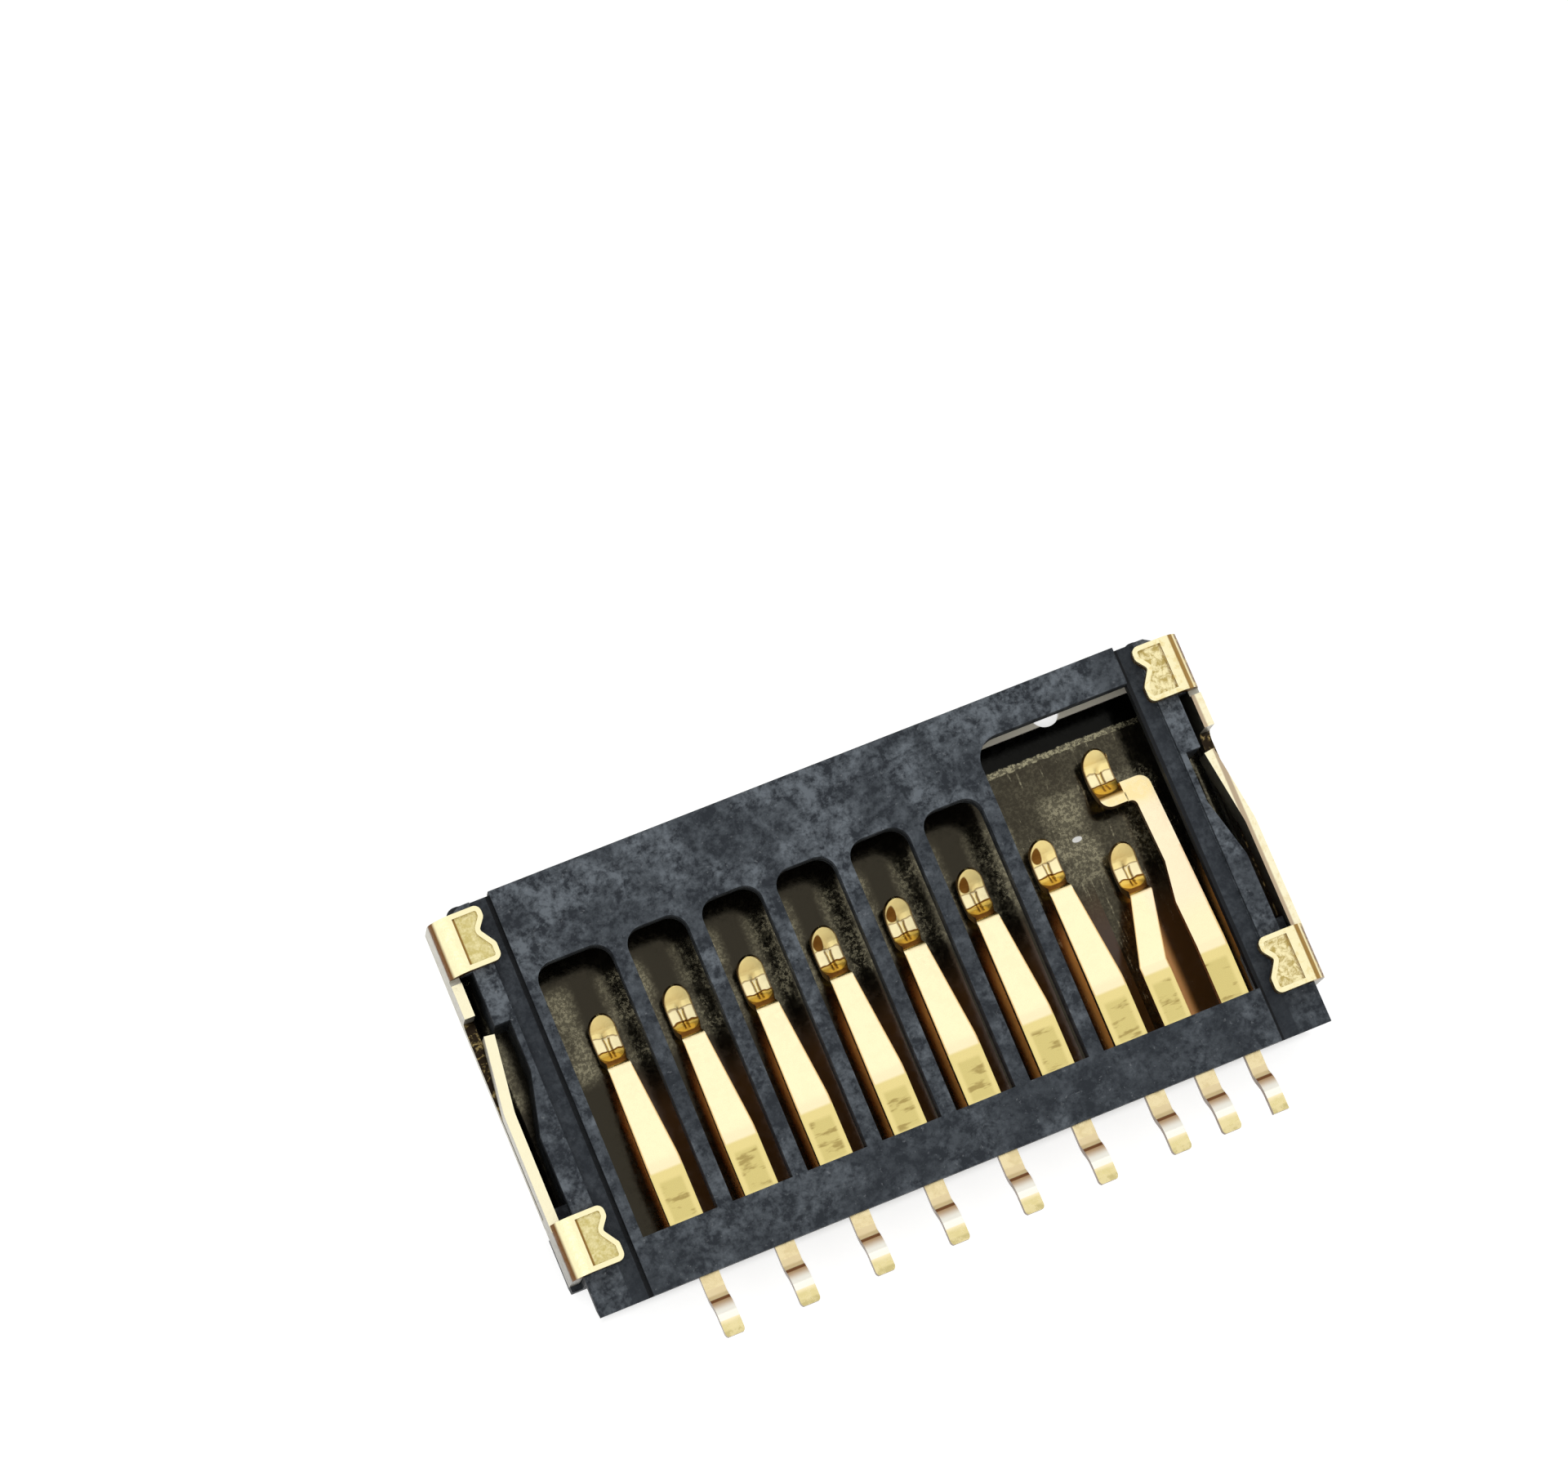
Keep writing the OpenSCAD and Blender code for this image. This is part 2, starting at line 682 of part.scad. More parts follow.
module detect_contact() {
    x = detect_x - detect_jog;
    fall = beam_fall / detect_len;
    spoon_y = detect_tip_y - detect_spoon;
    spoon = spoon_path(spoon_y, root_z - (spoon_y - bend_y) * fall, detect_spoon);
    end = [arm_y + over, root_z - beam_fall - over * fall, 0];
    color([0.93, 0.8, 0.45]) {
        intersection() {
            strip_along(concat(tail_path(), [[bend_y, root_z, strip_t * 2], end]), detect_x,
                        pad_pitch / 2);
            up_z(0, solder_z) detect_outline();
        }
        intersection() {
            formed_strip(detect_x, x, spoon);
            up_z(0, solder_z)
                tongue([x - spoon_w / 2, x + spoon_w / 2],
                       [arm_y - detect_arm_w + detect_r, detect_tip_y]);
        }
    }
}

housing();
shell();
full_contact(1);  // contact_1
full_contact(2);  // contact_2
full_contact(3);  // contact_3
full_contact(4);  // contact_4
full_contact(5);  // contact_5
full_contact(6);  // contact_6
full_contact(7);  // contact_7
short_contact();  // contact_8
detect_contact();
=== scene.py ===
import math

import bmesh
import bpy
from mathutils import Matrix, Vector


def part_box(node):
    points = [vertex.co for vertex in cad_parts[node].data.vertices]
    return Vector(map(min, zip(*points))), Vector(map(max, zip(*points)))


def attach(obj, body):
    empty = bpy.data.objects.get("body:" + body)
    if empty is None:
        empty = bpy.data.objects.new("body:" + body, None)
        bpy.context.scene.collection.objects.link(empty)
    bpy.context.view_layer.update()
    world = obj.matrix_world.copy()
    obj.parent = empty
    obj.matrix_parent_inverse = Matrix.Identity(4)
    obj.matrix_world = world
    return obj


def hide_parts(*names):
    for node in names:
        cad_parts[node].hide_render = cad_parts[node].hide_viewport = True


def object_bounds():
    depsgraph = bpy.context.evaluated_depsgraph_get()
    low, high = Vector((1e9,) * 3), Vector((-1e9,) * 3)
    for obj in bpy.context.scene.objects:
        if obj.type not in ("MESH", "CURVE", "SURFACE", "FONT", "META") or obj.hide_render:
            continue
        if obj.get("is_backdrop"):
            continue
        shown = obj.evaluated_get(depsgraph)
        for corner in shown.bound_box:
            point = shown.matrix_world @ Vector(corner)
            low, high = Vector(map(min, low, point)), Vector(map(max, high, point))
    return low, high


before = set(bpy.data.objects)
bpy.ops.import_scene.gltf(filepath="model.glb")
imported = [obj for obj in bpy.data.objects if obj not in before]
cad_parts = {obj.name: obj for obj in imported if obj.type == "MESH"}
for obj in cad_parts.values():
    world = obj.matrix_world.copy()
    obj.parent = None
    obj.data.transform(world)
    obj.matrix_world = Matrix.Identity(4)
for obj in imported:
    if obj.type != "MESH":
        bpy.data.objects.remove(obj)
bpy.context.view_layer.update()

bl_info = {
    "name": "MicroSD card connector",
    "version": (1, 0, 0),
    "blender": (4, 5, 0),
    "location": "3D View > Sidebar > Connector",
    "description": "Dresses the connector's moulding, shell and contacts, and lights them",
    "category": "Object",
}

# Pieces are modelled in millimetres and brought to metres when they are done
MM = 0.001
MERGE = 0.0015
SMALL = 1e-3

# Stations along the strips, in millimetres, as the solids have them
NECK_Y = -2.7
NECK_STEP = 0.02
BEND_Y = -1.32
BEAM_Y = 0.13
SHORT_BEAM_Y = -0.32
ROOT_Z = 0.96
FOOT_LEN = 0.38
STEP_LEN = 0.2
FOOT_BEND = 0.28
ROOT_BEND = 0.9
SPOON_R = 0.35
DIP_SHARE = 0.44
BEND_STEP = 7.0

# The strip narrows in a shoulder where the spoon starts, and its trough stops short of both ends
SHOULDER_LEN = 0.05
SHOULDER_SHARE = 0.86
TROUGH_START = 0.1
TROUGH_END = 0.2
TROUGH_SLOPE = 0.3

# Rounded ends: distance from a tail's end and share of its width, and turns round a tip and a corner
TAIL_END = ((0, 0.78), (0.02, 0.92), (0.05, 1.0))
TIP_TURNS = 8
TIP_TURN = 10
TIP_SHARE = 0.12
CORNER_TURNS = 6
CORNER_TURN = 15

# The card detect strip, its arm and its spoon
ARM_W = 0.3
ARM_R = 0.16
ARM_UNDER_Z = 0.5
ARM_LAP = 0.02
DETECT_SPOON = 0.72
DETECT_REACH = 0.57
DETECT_LEN = 2.56
DETECT_W = 0.54

# The short strip's middle, and how far its spoon and its root lie off it
SHORT_X = 3.5
SHORT_JOG = 0.28
ROOT_SHIFT = 0.05

# A strip's pattern runs over this length from its tip, and the tip is pressed thinner
UV_SPAN = 6.0
TIP_THIN = 0.4
TIP_THIN_LEN = 0.4

# Columns of a strip across its half width, with a channel in the middle
COLUMNS = (-1, -0.86, -0.6, -0.36, -0.22, 0, 0.22, 0.36, 0.6, 0.86, 1)
CHANNEL = 0.25

# The shell's relief slits: the reach of their round ends, which go further in than in the solids
SLIT_X = 3.63
SLIT_HALF = 0.25
SLIT_END_Y = 2.4
SLIT_MID_Y = 2.735
SLIT_TOP_Z = 0.2
SLIT_MORE = 0.12

# Degrees between two faces: flat enough to join, and sharp enough to round on a copy and on a strip
FLAT_ANGLE = 1.5
PLAIN_ANGLE = 42
STRIP_ANGLE = 50

# Places of the marks, in millimetres: faces above TOP_Z are the plate and the tabs
TOP_Z = (0.98, 1.01)
SUNK_BAND = (4.68, 4.94)
RAIL_EDGE = (4.95, 4.97)
CREASE_X = 4.690
ROOT = (-2.3, -1.46)
ROOT_PANEL = (-2.12, -1.62)
TAIL_NECK = (-3.32, -2.9)
TAIL_RISE = (-3.62, -3.35)
RISE_LINE_Y = -3.335
DETECT_X = (3.7, 3.9)
SHEARED_Z = (0.28, 0.90)
HIGHLIGHT_LINE = (2.05, 2.11)
LIT_EDGE_STRIP = (2.45, 2.9)
FLAKE = (3.35, 0.775)
WINDOW_X = (2.2, 2.4)
SLOT_PITCH = 1.1
SLOTS_FROM_X = -4.4
COINED_Z = (1.19, 1.225)
TAB_SHOULDER = (5.44, 5.49)
TAB_GROOVE_X = 5.265

# The floor lies just under the part and glows, but not right below it; its sizes are in millimetres
FLOOR_DROP = 0.02
FLOOR_SIZE = 600
FLOOR_GLOW = 0.65
UNDER_SIDE = (5.0, 5.4)
UNDER_NEAR = (-3.0, -2.7)
UNDER_FAR = (2.1, 2.3)

# Light of the studio, and how much brighter it is where it is seen or mirrored
STUDIO_LIGHT = 0.72
SEEN_LIGHT = 0.3

# The camera, in millimetres, and the directions of its view
CAMERA_PLACE = (-13.237, -8.705, 74.504)
CAMERA_RIGHT = (0.91763456, -0.3844233, 0.10082429)
CAMERA_DOWN = (-0.35711631, -0.90891337, -0.21527756)
CAMERA_FORWARD = (0.17439825, 0.16154013, -0.97133415)
CAMERA_LENS = 126.45

# The soft lamps: name, place and width in metres, and brightness
LAMPS = (("Far softbox", (0.02, 0.12, 0.13), 0.12, 0.12),
         ("Side softbox", (-0.12, -0.03, 0.14), 0.09, 0.9))

BODY = "root"
PLATED = ["contact_%d" % i for i in range(1, 8)]


# Sizes and colours that a user would change

def length(name, text, value):
    return bpy.props.FloatProperty(name=name, description=text, default=value, unit="LENGTH", precision=6)


def colour(name, text, value):
    return bpy.props.FloatVectorProperty(name=name, description=text, default=value, size=3,
                                         subtype="COLOR", min=0, max=1)


class StripSizes(bpy.types.PropertyGroup):
    thick: length("Thickness", "Thickness of the contact strip", 0.12 * MM)
    tail_w: length("Tail width", "Width of a solder tail", 0.28 * MM)
    root_w: length("Root width", "Width of the strip at its root", 0.48 * MM)
    short_w: length("Short root width", "Width of the short strip at its root", 0.40 * MM)
    beam_w: length("Beam width", "Width of the strip at the end of the beam", 0.33 * MM)
    spoon_w: length("Spoon width", "Width of the spoon that touches the card", 0.38 * MM)
    spoon_len: length("Spoon length", "Reach of the spoon past the beam", 0.78 * MM)
    spoon_dip: length("Spoon dip", "How far the spoon dips below the beam's end", 0.42 * MM)
    beam_fall: length("Beam fall", "How far the beam slopes into the card's room", 0.39 * MM)
    trough: length("Trough depth", "Depth of the trough pressed along the spoon", 0.04 * MM)
    edge: length("Edge radius", "Radius on the edges of the stamped strip", 0.018 * MM)


class EdgeSizes(bpy.types.PropertyGroup):
    moulding: length("Moulding edge", "Radius on the edges of the moulding", 0.02 * MM)
    sheet: length("Sheet edge", "Radius on the edges of the shell's sheet", 0.035 * MM)


class FinishColours(bpy.types.PropertyGroup):
    slate: colour("Moulding", "Colour of the moulding", (0.023, 0.028, 0.035))
    slate_light: colour("Moulding mottle", "Colour of the moulding's paler grains", (0.158, 0.180, 0.202))
    gold: colour("Gold", "Colour of the plated faces that lie flat", (1.0, 0.87, 0.55))
    # The deep gold is painted shade where the plating turns down away from the light
    gold_shade: colour("Gold in shade", "Colour of the plating where it turns down", (0.22, 0.095, 0.02))
    sheet: colour("Sheet", "Colour of the shell's walls", (0.46, 0.44, 0.37))
    # The sheet inside is the sheet's colour darkened with painted shade, for the shade under the moulding
    sheet_inside_shaded: colour("Sheet inside in shade", "Colour of the shell's inner face", (0.034, 0.029, 0.019))
    floor: colour("Floor", "Colour of the floor", (0.72, 0.72, 0.715))


# Selecting, shaping and finishing pieces

def deselect():
    for o in bpy.context.selected_objects:
        o.select_set(False)


def make_active(piece):
    deselect()
    piece.select_set(True)
    bpy.context.view_layer.objects.active = piece


def edit(piece, kind="VERT"):
    make_active(piece)
    bpy.ops.object.mode_set(mode="EDIT")
    bpy.ops.mesh.select_mode(type=kind)
    bpy.ops.mesh.select_all(action="DESELECT")


def apply_modifiers(piece):
    make_active(piece)
    for m in list(piece.modifiers):
        bpy.ops.object.modifier_apply(modifier=m.name)


def finish_piece(piece, name, material, nodes):
    """Brings a finished piece to metres, and says what it rides on and stands for"""
    piece.data.transform(Matrix.Scale(MM, 4))
    piece.data.update()
    piece.name = piece.data.name = name
    piece.data.materials.clear()
    piece.data.materials.append(material)
    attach(piece, BODY)
    if nodes:
        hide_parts(*nodes)
    return piece


def merged_copy(node):
    """A copy of a CAD node's mesh in millimetres, its loose triangles joined into plain faces"""
    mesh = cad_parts[node].data.copy()
    mesh.transform(Matrix.Scale(1 / MM, 4))
    piece = bpy.data.objects.new(node + "_copy", mesh)
    bpy.context.scene.collection.objects.link(piece)
    edit(piece)
    bpy.ops.mesh.select_all(action="SELECT")
    bpy.ops.mesh.customdata_custom_splitnormals_clear()
    bpy.ops.mesh.remove_doubles(threshold=MERGE)
    bpy.ops.mesh.dissolve_limited(angle_limit=math.radians(FLAT_ANGLE), use_dissolve_boundaries=False)
    bpy.ops.object.mode_set(mode="OBJECT")
    return piece


def round_edges(piece, width, angle, segments=2):
    bevel = piece.modifiers.new("Rounded edges", "BEVEL")
    bevel.width = width
    bevel.segments = segments
    bevel.limit_method = "ANGLE"
    bevel.angle_limit = math.radians(angle)
    bevel.use_clamp_overlap = True
    bevel.harden_normals = False
    apply_modifiers(piece)
    make_active(piece)
    bpy.ops.object.shade_smooth_by_angle(angle=math.radians(angle))
    weighted = piece.modifiers.new("Even shading", "WEIGHTED_NORMAL")
    weighted.keep_sharp = True
    weighted.weight = 100
    apply_modifiers(piece)


# Shader nodes

def put(tree, kind, inputs=None, **settings):
    n = tree.nodes.new(kind)
    for key, value in settings.items():
        setattr(n, key, value)
    for key, value in (inputs or {}).items():
        if isinstance(value, bpy.types.NodeSocket):
            tree.links.new(value, n.inputs[key])
        else:
            n.inputs[key].default_value = value
    return n


def maths(tree, how, a, b=0.0, clamp=False):
    return put(tree, "ShaderNodeMath", {0: a, 1: b}, operation=how, use_clamp=clamp).outputs[0]


def ramp(tree, value, low, high, start=0.0, end=1.0):
    """Maps a value from low..high to start..end, held at the ends"""
    return put(tree, "ShaderNodeMapRange",
               {"Value": value, "From Min": low, "From Max": high, "To Min": start, "To Max": end},
               interpolation_type="SMOOTHSTEP").outputs["Result"]


def blend_colours(tree, mask, a, b, how="MIX"):
    n = put(tree, "ShaderNodeMix", data_type="RGBA", blend_type=how)
    for socket, value in zip((n.inputs[0], n.inputs[6], n.inputs[7]), (mask, a, b)):
        if isinstance(value, bpy.types.NodeSocket):
            tree.links.new(value, socket)
        elif isinstance(value, float):
            socket.default_value = value
        else:
            socket.default_value = tuple(value) + (1.0,)
    return n.outputs[2]


def product(tree, *masks):
    result = masks[0]
    for mask in masks[1:]:
        result = maths(tree, "MULTIPLY", result, mask)
    return result


def strongest(tree, *masks):
    result = masks[0]
    for mask in masks[1:]:
        result = maths(tree, "MAXIMUM", result, mask)
    return result


def distance(tree, value, middle):
    return maths(tree, "ABSOLUTE", maths(tree, "SUBTRACT", value, middle))


def band(tree, value, low, high, soft):
    """One inside low..high and nought outside, with soft ends"""
    rise = ramp(tree, value, low - soft, low)
    fall = ramp(tree, value, high, high + soft, 1.0, 0.0)
    return maths(tree, "MULTIPLY", rise, fall)


def stripe(tree, value, middle, half, soft):
    """One within half of the middle, with soft sides"""
    return ramp(tree, distance(tree, value, middle), half, half + soft, 1.0, 0.0)


def spot(tree, across, along, middle, tightness, low, high):
    """One in an oval spot, smaller where tightness is greater, with a rim from low to high"""
    u = product(tree, maths(tree, "SUBTRACT", across, middle[0]), tightness[0])
    v = product(tree, maths(tree, "SUBTRACT", along, middle[1]), tightness[1])
    reach = maths(tree, "ADD", product(tree, u, u), product(tree, v, v))
    return ramp(tree, reach, low, high, 1.0, 0.0)


def noise(tree, where, scale, detail=3.0, rough=0.55, stretch=None, distortion=0.0):
    if stretch:
        where = put(tree, "ShaderNodeMapping", {"Vector": where, "Scale": stretch}).outputs[0]
    inputs = {"Vector": where, "Scale": scale, "Detail": detail, "Roughness": rough,
              "Distortion": distortion}
    return put(tree, "ShaderNodeTexNoise", inputs).outputs["Fac"]


def new_group(name, ins, outs):
    group = bpy.data.node_groups.new(name, "ShaderNodeTree")
    for label, kind, value in ins:
        socket = group.interface.new_socket(label, in_out="INPUT", socket_type=kind)
        socket.default_value = value
    for label, kind in outs:
        group.interface.new_socket(label, in_out="OUTPUT", socket_type=kind)
    return group, group.nodes.new("NodeGroupInput"), group.nodes.new("NodeGroupOutput")


def place_group():
    """Place in the part in millimetres, and how far a face turns up or leans"""
    group, _, out = new_group("Place on the part", [], [
        ("X", "NodeSocketFloat"), ("Y", "NodeSocketFloat"), ("Z", "NodeSocketFloat"),
        ("Up", "NodeSocketFloat"), ("Steep", "NodeSocketFloat")])
    where = group.nodes.new("ShaderNodeTexCoord").outputs["Object"]
    split = put(group, "ShaderNodeSeparateXYZ", {0: where})
    for axis in "XYZ":
        group.links.new(maths(group, "MULTIPLY", split.outputs[axis], 1 / MM), out.inputs[axis])
    normal = group.nodes.new("ShaderNodeNewGeometry").outputs["Normal"]
    turned = put(group, "ShaderNodeSeparateXYZ", {0: normal})
    group.links.new(turned.outputs["Z"], out.inputs["Up"])
    level = maths(group, "ABSOLUTE", turned.outputs["Z"])
    group.links.new(maths(group, "SUBTRACT", 1.0, level), out.inputs["Steep"])
    return group


def grain_group():
    """Irregular grains, as a mask and as a height for a bump"""
    group, into, out = new_group("Grain", [
        ("Scale", "NodeSocketFloat", 8000.0), ("Low", "NodeSocketFloat", 0.45),
        ("High", "NodeSocketFloat", 0.65)],
        [("Mask", "NodeSocketFloat"), ("Height", "NodeSocketFloat")])
    where = group.nodes.new("ShaderNodeTexCoord").outputs["Object"]
    coarse = noise(group, where, into.outputs["Scale"], 4.0, 0.62, distortion=0.4)
    fine = noise(group, where, maths(group, "MULTIPLY", into.outputs["Scale"], 3.3), 2.0, 0.6)
    both = maths(group, "ADD", product(group, coarse, 0.65), product(group, fine, 0.35))
    mask = put(group, "ShaderNodeMapRange", {"Value": both, "From Min": into.outputs["Low"],
                                             "From Max": into.outputs["High"]}).outputs["Result"]
    group.links.new(mask, out.inputs["Mask"])
    group.links.new(both, out.inputs["Height"])
    return group


def wrinkle_group():
    """The short crossing wrinkles of rolled and tinned sheet"""
    group, into, out = new_group("Wrinkles", [
        ("Scale", "NodeSocketFloat", 9000.0), ("Width", "NodeSocketFloat", 0.05)],
        [("Mask", "NodeSocketFloat")])
    where = group.nodes.new("ShaderNodeTexCoord").outputs["Object"]
    field = noise(group, where, into.outputs["Scale"], 2.0, 0.5, distortion=1.2)
    inputs = {"Value": distance(group, field, 0.5), "From Min": 0.0, "From Max": into.outputs["Width"],
              "To Min": 1.0, "To Max": 0.0}
    group.links.new(put(group, "ShaderNodeMapRange", inputs).outputs["Result"], out.inputs["Mask"])
    return group


def new_material(name):
    material = bpy.data.materials.new(name)
    material.use_nodes = True
    tree = material.node_tree
    shader = tree.nodes["Principled BSDF"]
    return material, tree, shader


def use_group(tree, group, **values):
    n = tree.nodes.new("ShaderNodeGroup")
    n.node_tree = group
    for key, value in values.items():
        n.inputs[key].default_value = value
    return n


def set_bump(tree, shader, height, depth, strength):
    bump = put(tree, "ShaderNodeBump", {"Height": height, "Distance": depth, "Strength": strength})
    tree.links.new(bump.outputs[0], shader.inputs["Normal"])


def moulding_material(groups, colours):
    material, tree, shader = new_material("Slate moulding")
    place = use_group(tree, groups["place"])
    grain = use_group(tree, groups["grain"], Scale=5000.0, Low=0.41, High=0.65)
    where = tree.nodes.new("ShaderNodeTexCoord").outputs["Object"]
    side = maths(tree, "ABSOLUTE", place.outputs["X"])

    # Pale grains, fainter in the sunk bands and towards the mouth, and stronger on the rails
    sunk = band(tree, side, *SUNK_BAND, 0.01)
    rail = ramp(tree, side, *RAIL_EDGE)
    level = maths(tree, "ADD", maths(tree, "SUBTRACT", 1.0, product(tree, sunk, 0.7)),
                  product(tree, rail, 0.15))
    broad = ramp(tree, noise(tree, where, 1300.0, 2.0), 0.38, 0.62, 0.4, 1.0)
    to_far = ramp(tree, place.outputs["Y"], -2.6, 1.6, 0.75, 1.3)
    amount = product(tree, grain.outputs["Mask"], broad, to_far, level)
    face = blend_colours(tree, amount, colours.slate, colours.slate_light)
    specks = ramp(tree, noise(tree, where, 15000.0, 3.0, 0.7), 0.62, 0.74)
    face = blend_colours(tree, product(tree, specks, level, 0.5), face, (0.24, 0.255, 0.27))

    # Painted shade: low faces, walls and the crease along each sunk band are darker
    low = ramp(tree, place.outputs["Z"], *TOP_Z, 0.42, 1.0)
    steep = ramp(tree, place.outputs["Steep"], 0.2, 0.8, 1.0, 0.5)
    crease_shadow = ramp(tree, distance(tree, side, CREASE_X), 0.024, 0.036, 0.05, 1.0)
    painted_shade = product(tree, low, steep, crease_shadow)
    painted_shade_colour = tuple(c * 0.2 for c in colours.slate)
    tree.links.new(blend_colours(tree, painted_shade, painted_shade_colour, face), shader.inputs["Base Color"])
    rough = ramp(tree, grain.outputs["Mask"], 0.0, 1.0, 0.62, 0.48)
    tree.links.new(rough, shader.inputs["Roughness"])
    shader.inputs["Specular IOR Level"].default_value = 0.2
    set_bump(tree, shader, grain.outputs["Height"], 0.02 * MM, 0.6)
    return material


def contact_material(groups, colours):
    material, tree, shader = new_material("Gold plated strip")
    place = use_group(tree, groups["place"])
    x, y, z, steep = (place.outputs[a] for a in ("X", "Y", "Z", "Steep"))
    grain = use_group(tree, groups["grain"], Scale=5200.0, Low=0.40, High=0.62)
    grains = grain.outputs["Mask"]
    pattern = put(tree, "ShaderNodeUVMap", uv_map="Strip").outputs[0]
    strip = put(tree, "ShaderNodeSeparateXYZ", {0: pattern})
    across = strip.outputs["X"]
    off_middle = distance(tree, across, 0.5)
    from_tip = product(tree, maths(tree, "SUBTRACT", 1.0, strip.outputs["Y"]), UV_SPAN)
    where = tree.nodes.new("ShaderNodeTexCoord").outputs["Object"]
    shade_brown = (0.20, 0.085, 0.015)

    # Painted shade: faces that lean go through deep gold, and the beams have golden brown edges
    face = blend_colours(tree, ramp(tree, steep, 0.05, 0.3), colours.gold, (0.86, 0.62, 0.20))
    on_beam = band(tree, y, -2.2, 0.1, 0.02)
    beam_edge_shade = product(tree, ramp(tree, off_middle, 0.44, 0.485), on_beam, 0.7)
    face = blend_colours(tree, beam_edge_shade, face, (0.62, 0.33, 0.06))

    # The card detect strip is pinkish along its beam and a duller gold on its arm
    detect = ramp(tree, x, *DETECT_X)
    tinted = product(tree, detect, band(tree, y, -0.5, 0.7, 0.5), 0.4)
    face = blend_colours(tree, tinted, face, (0.98, 0.78, 0.60))
    arm = product(tree, detect, ramp(tree, y, 0.75, 1.0), ramp(tree, grains, 0.0, 1.0, 0.9, 0.3))
    face = blend_colours(tree, arm, face, (0.93, 0.74, 0.36))

    # The coined panel on each root, with short marks across it
    lines = noise(tree, where, 3200.0, 3.0, 0.6, (0.7, 2.6, 1.0))
    mark = ramp(tree, lines, 0.52, 0.64)
    panel = product(tree, band(tree, y, *ROOT_PANEL, 0.07), ramp(tree, off_middle, 0.28, 0.40, 1.0, 0.0))
    root = band(tree, y, *ROOT, 0.05)
    face = blend_colours(tree, product(tree, root, 0.9), face, (0.82, 0.68, 0.26))
    face = blend_colours(tree, product(tree, panel, 0.8), face, (0.66, 0.55, 0.20))
    face = blend_colours(tree, product(tree, mark, panel, 0.75), face, (0.34, 0.24, 0.07))

    # The tail: a brown line of painted shade where it starts to rise, a pinkish rise with painted highlight
    # low and painted shade high, and a duller end
    level = ramp(tree, steep, 0.45, 0.6, 1.0, 0.0)
    near_rise = product(tree, band(tree, y, -3.52, -3.18, 0.03), level)
    neck = product(tree, band(tree, y, *TAIL_NECK, 0.01), level, ramp(tree, grains, 0.0, 1.0, 0.5, 0.9))
    face = blend_colours(tree, neck, face, (0.74, 0.60, 0.32))
    face = blend_colours(tree, product(tree, near_rise, 0.85), face, (0.95, 0.78, 0.46))
    rise = blend_colours(tree, ramp(tree, y, -3.50, -3.36), (1.0, 0.97, 0.86), (0.62, 0.41, 0.22))
    on_rise = product(tree, band(tree, y, *TAIL_RISE, 0.02), level)
    face = blend_colours(tree, on_rise, face, rise)
    rise_shade_line = product(tree, stripe(tree, y, RISE_LINE_Y, 0.016, 0.012), level)
    face = blend_colours(tree, rise_shade_line, face, (0.22, 0.08, 0.02))
    foot = product(tree, ramp(tree, y, -3.70, -3.62, 1.0, 0.0), ramp(tree, grains, 0.0, 1.0, 1.0, 0.7))
    face = blend_colours(tree, foot, face, (0.78, 0.67, 0.32))
    darker = product(tree, ramp(tree, y, -3.80, -3.76, 1.0, 0.0), ramp(tree, grains, 0.2, 0.9, 0.6, 0.1))
    face = blend_colours(tree, darker, face, (0.50, 0.42, 0.18))
    # Painted shade: steep faces go to deep gold, and the sides of the tails to dark brown
    face = blend_colours(tree, ramp(tree, steep, 0.42, 0.6), face, colours.gold_shade)
    side_shade = product(tree, ramp(tree, steep, 0.6, 0.8), ramp(tree, y, -2.9, -2.8, 1.0, 0.0))
    face = blend_colours(tree, side_shade, face, (0.13, 0.07, 0.025))

    # The spoon: painted light and shade for its pressed cup and trough: a golden cup, three stripes of
    # painted highlight between brown lines of painted shade, a brown rim of painted shadow round the cup, a
    # dimple in painted shade and a pale tip
    ripple = product(tree, maths(tree, "SUBTRACT", noise(tree, where, 6000.0, 1.0), 0.5), 0.12)
    wave = maths(tree, "ADD", from_tip, ripple)
    spoon = ramp(tree, from_tip, 0.72, 0.76, 1.0, 0.0)
    inside = blend_colours(tree, ramp(tree, wave, 0.51, 0.53), (1.0, 0.88, 0.52), (0.84, 0.57, 0.12))
    inside = blend_colours(tree, ramp(tree, wave, 0.26, 0.30, 1.0, 0.0), inside, (1.0, 0.82, 0.36))
    tip_shade_line = product(tree, stripe(tree, wave, 0.285, 0.006, 0.012), 0.6)
    shade_lines_across = strongest(tree, stripe(tree, wave, 0.52, 0.010, 0.012), tip_shade_line)
    shade_lines_along = product(tree, stripe(tree, off_middle, 0.17, 0.02, 0.02),
                      band(tree, from_tip, 0.30, 0.50, 0.01), 0.7)
    cup_shade_marks = product(tree, stripe(tree, off_middle, 0.10, 0.03, 0.025),
                        band(tree, from_tip, 0.56, 0.65, 0.015), 0.8)
    low = product(tree, maths(tree, "MAXIMUM", maths(tree, "SUBTRACT", from_tip, 0.60), 0.0), 10.0)
    bowl = maths(tree, "ADD", product(tree, low, low), product(tree, off_middle, off_middle, 5.2))
    rim = ramp(tree, bowl, 1.0, 1.22, 0.0, 0.85)
    spoon_shade = strongest(tree, shade_lines_across, shade_lines_along, cup_shade_marks, rim)
    inside = blend_colours(tree, spoon_shade, inside, shade_brown)
    dimple_shade = spot(tree, across, from_tip, (0.24, 0.17), (5.0, 9.0), 0.7, 1.1)
    inside = blend_colours(tree, product(tree, dimple_shade, band(tree, x, -0.8, 2.9, 0.6)), inside, shade_brown)
    face = blend_colours(tree, spoon, face, inside)
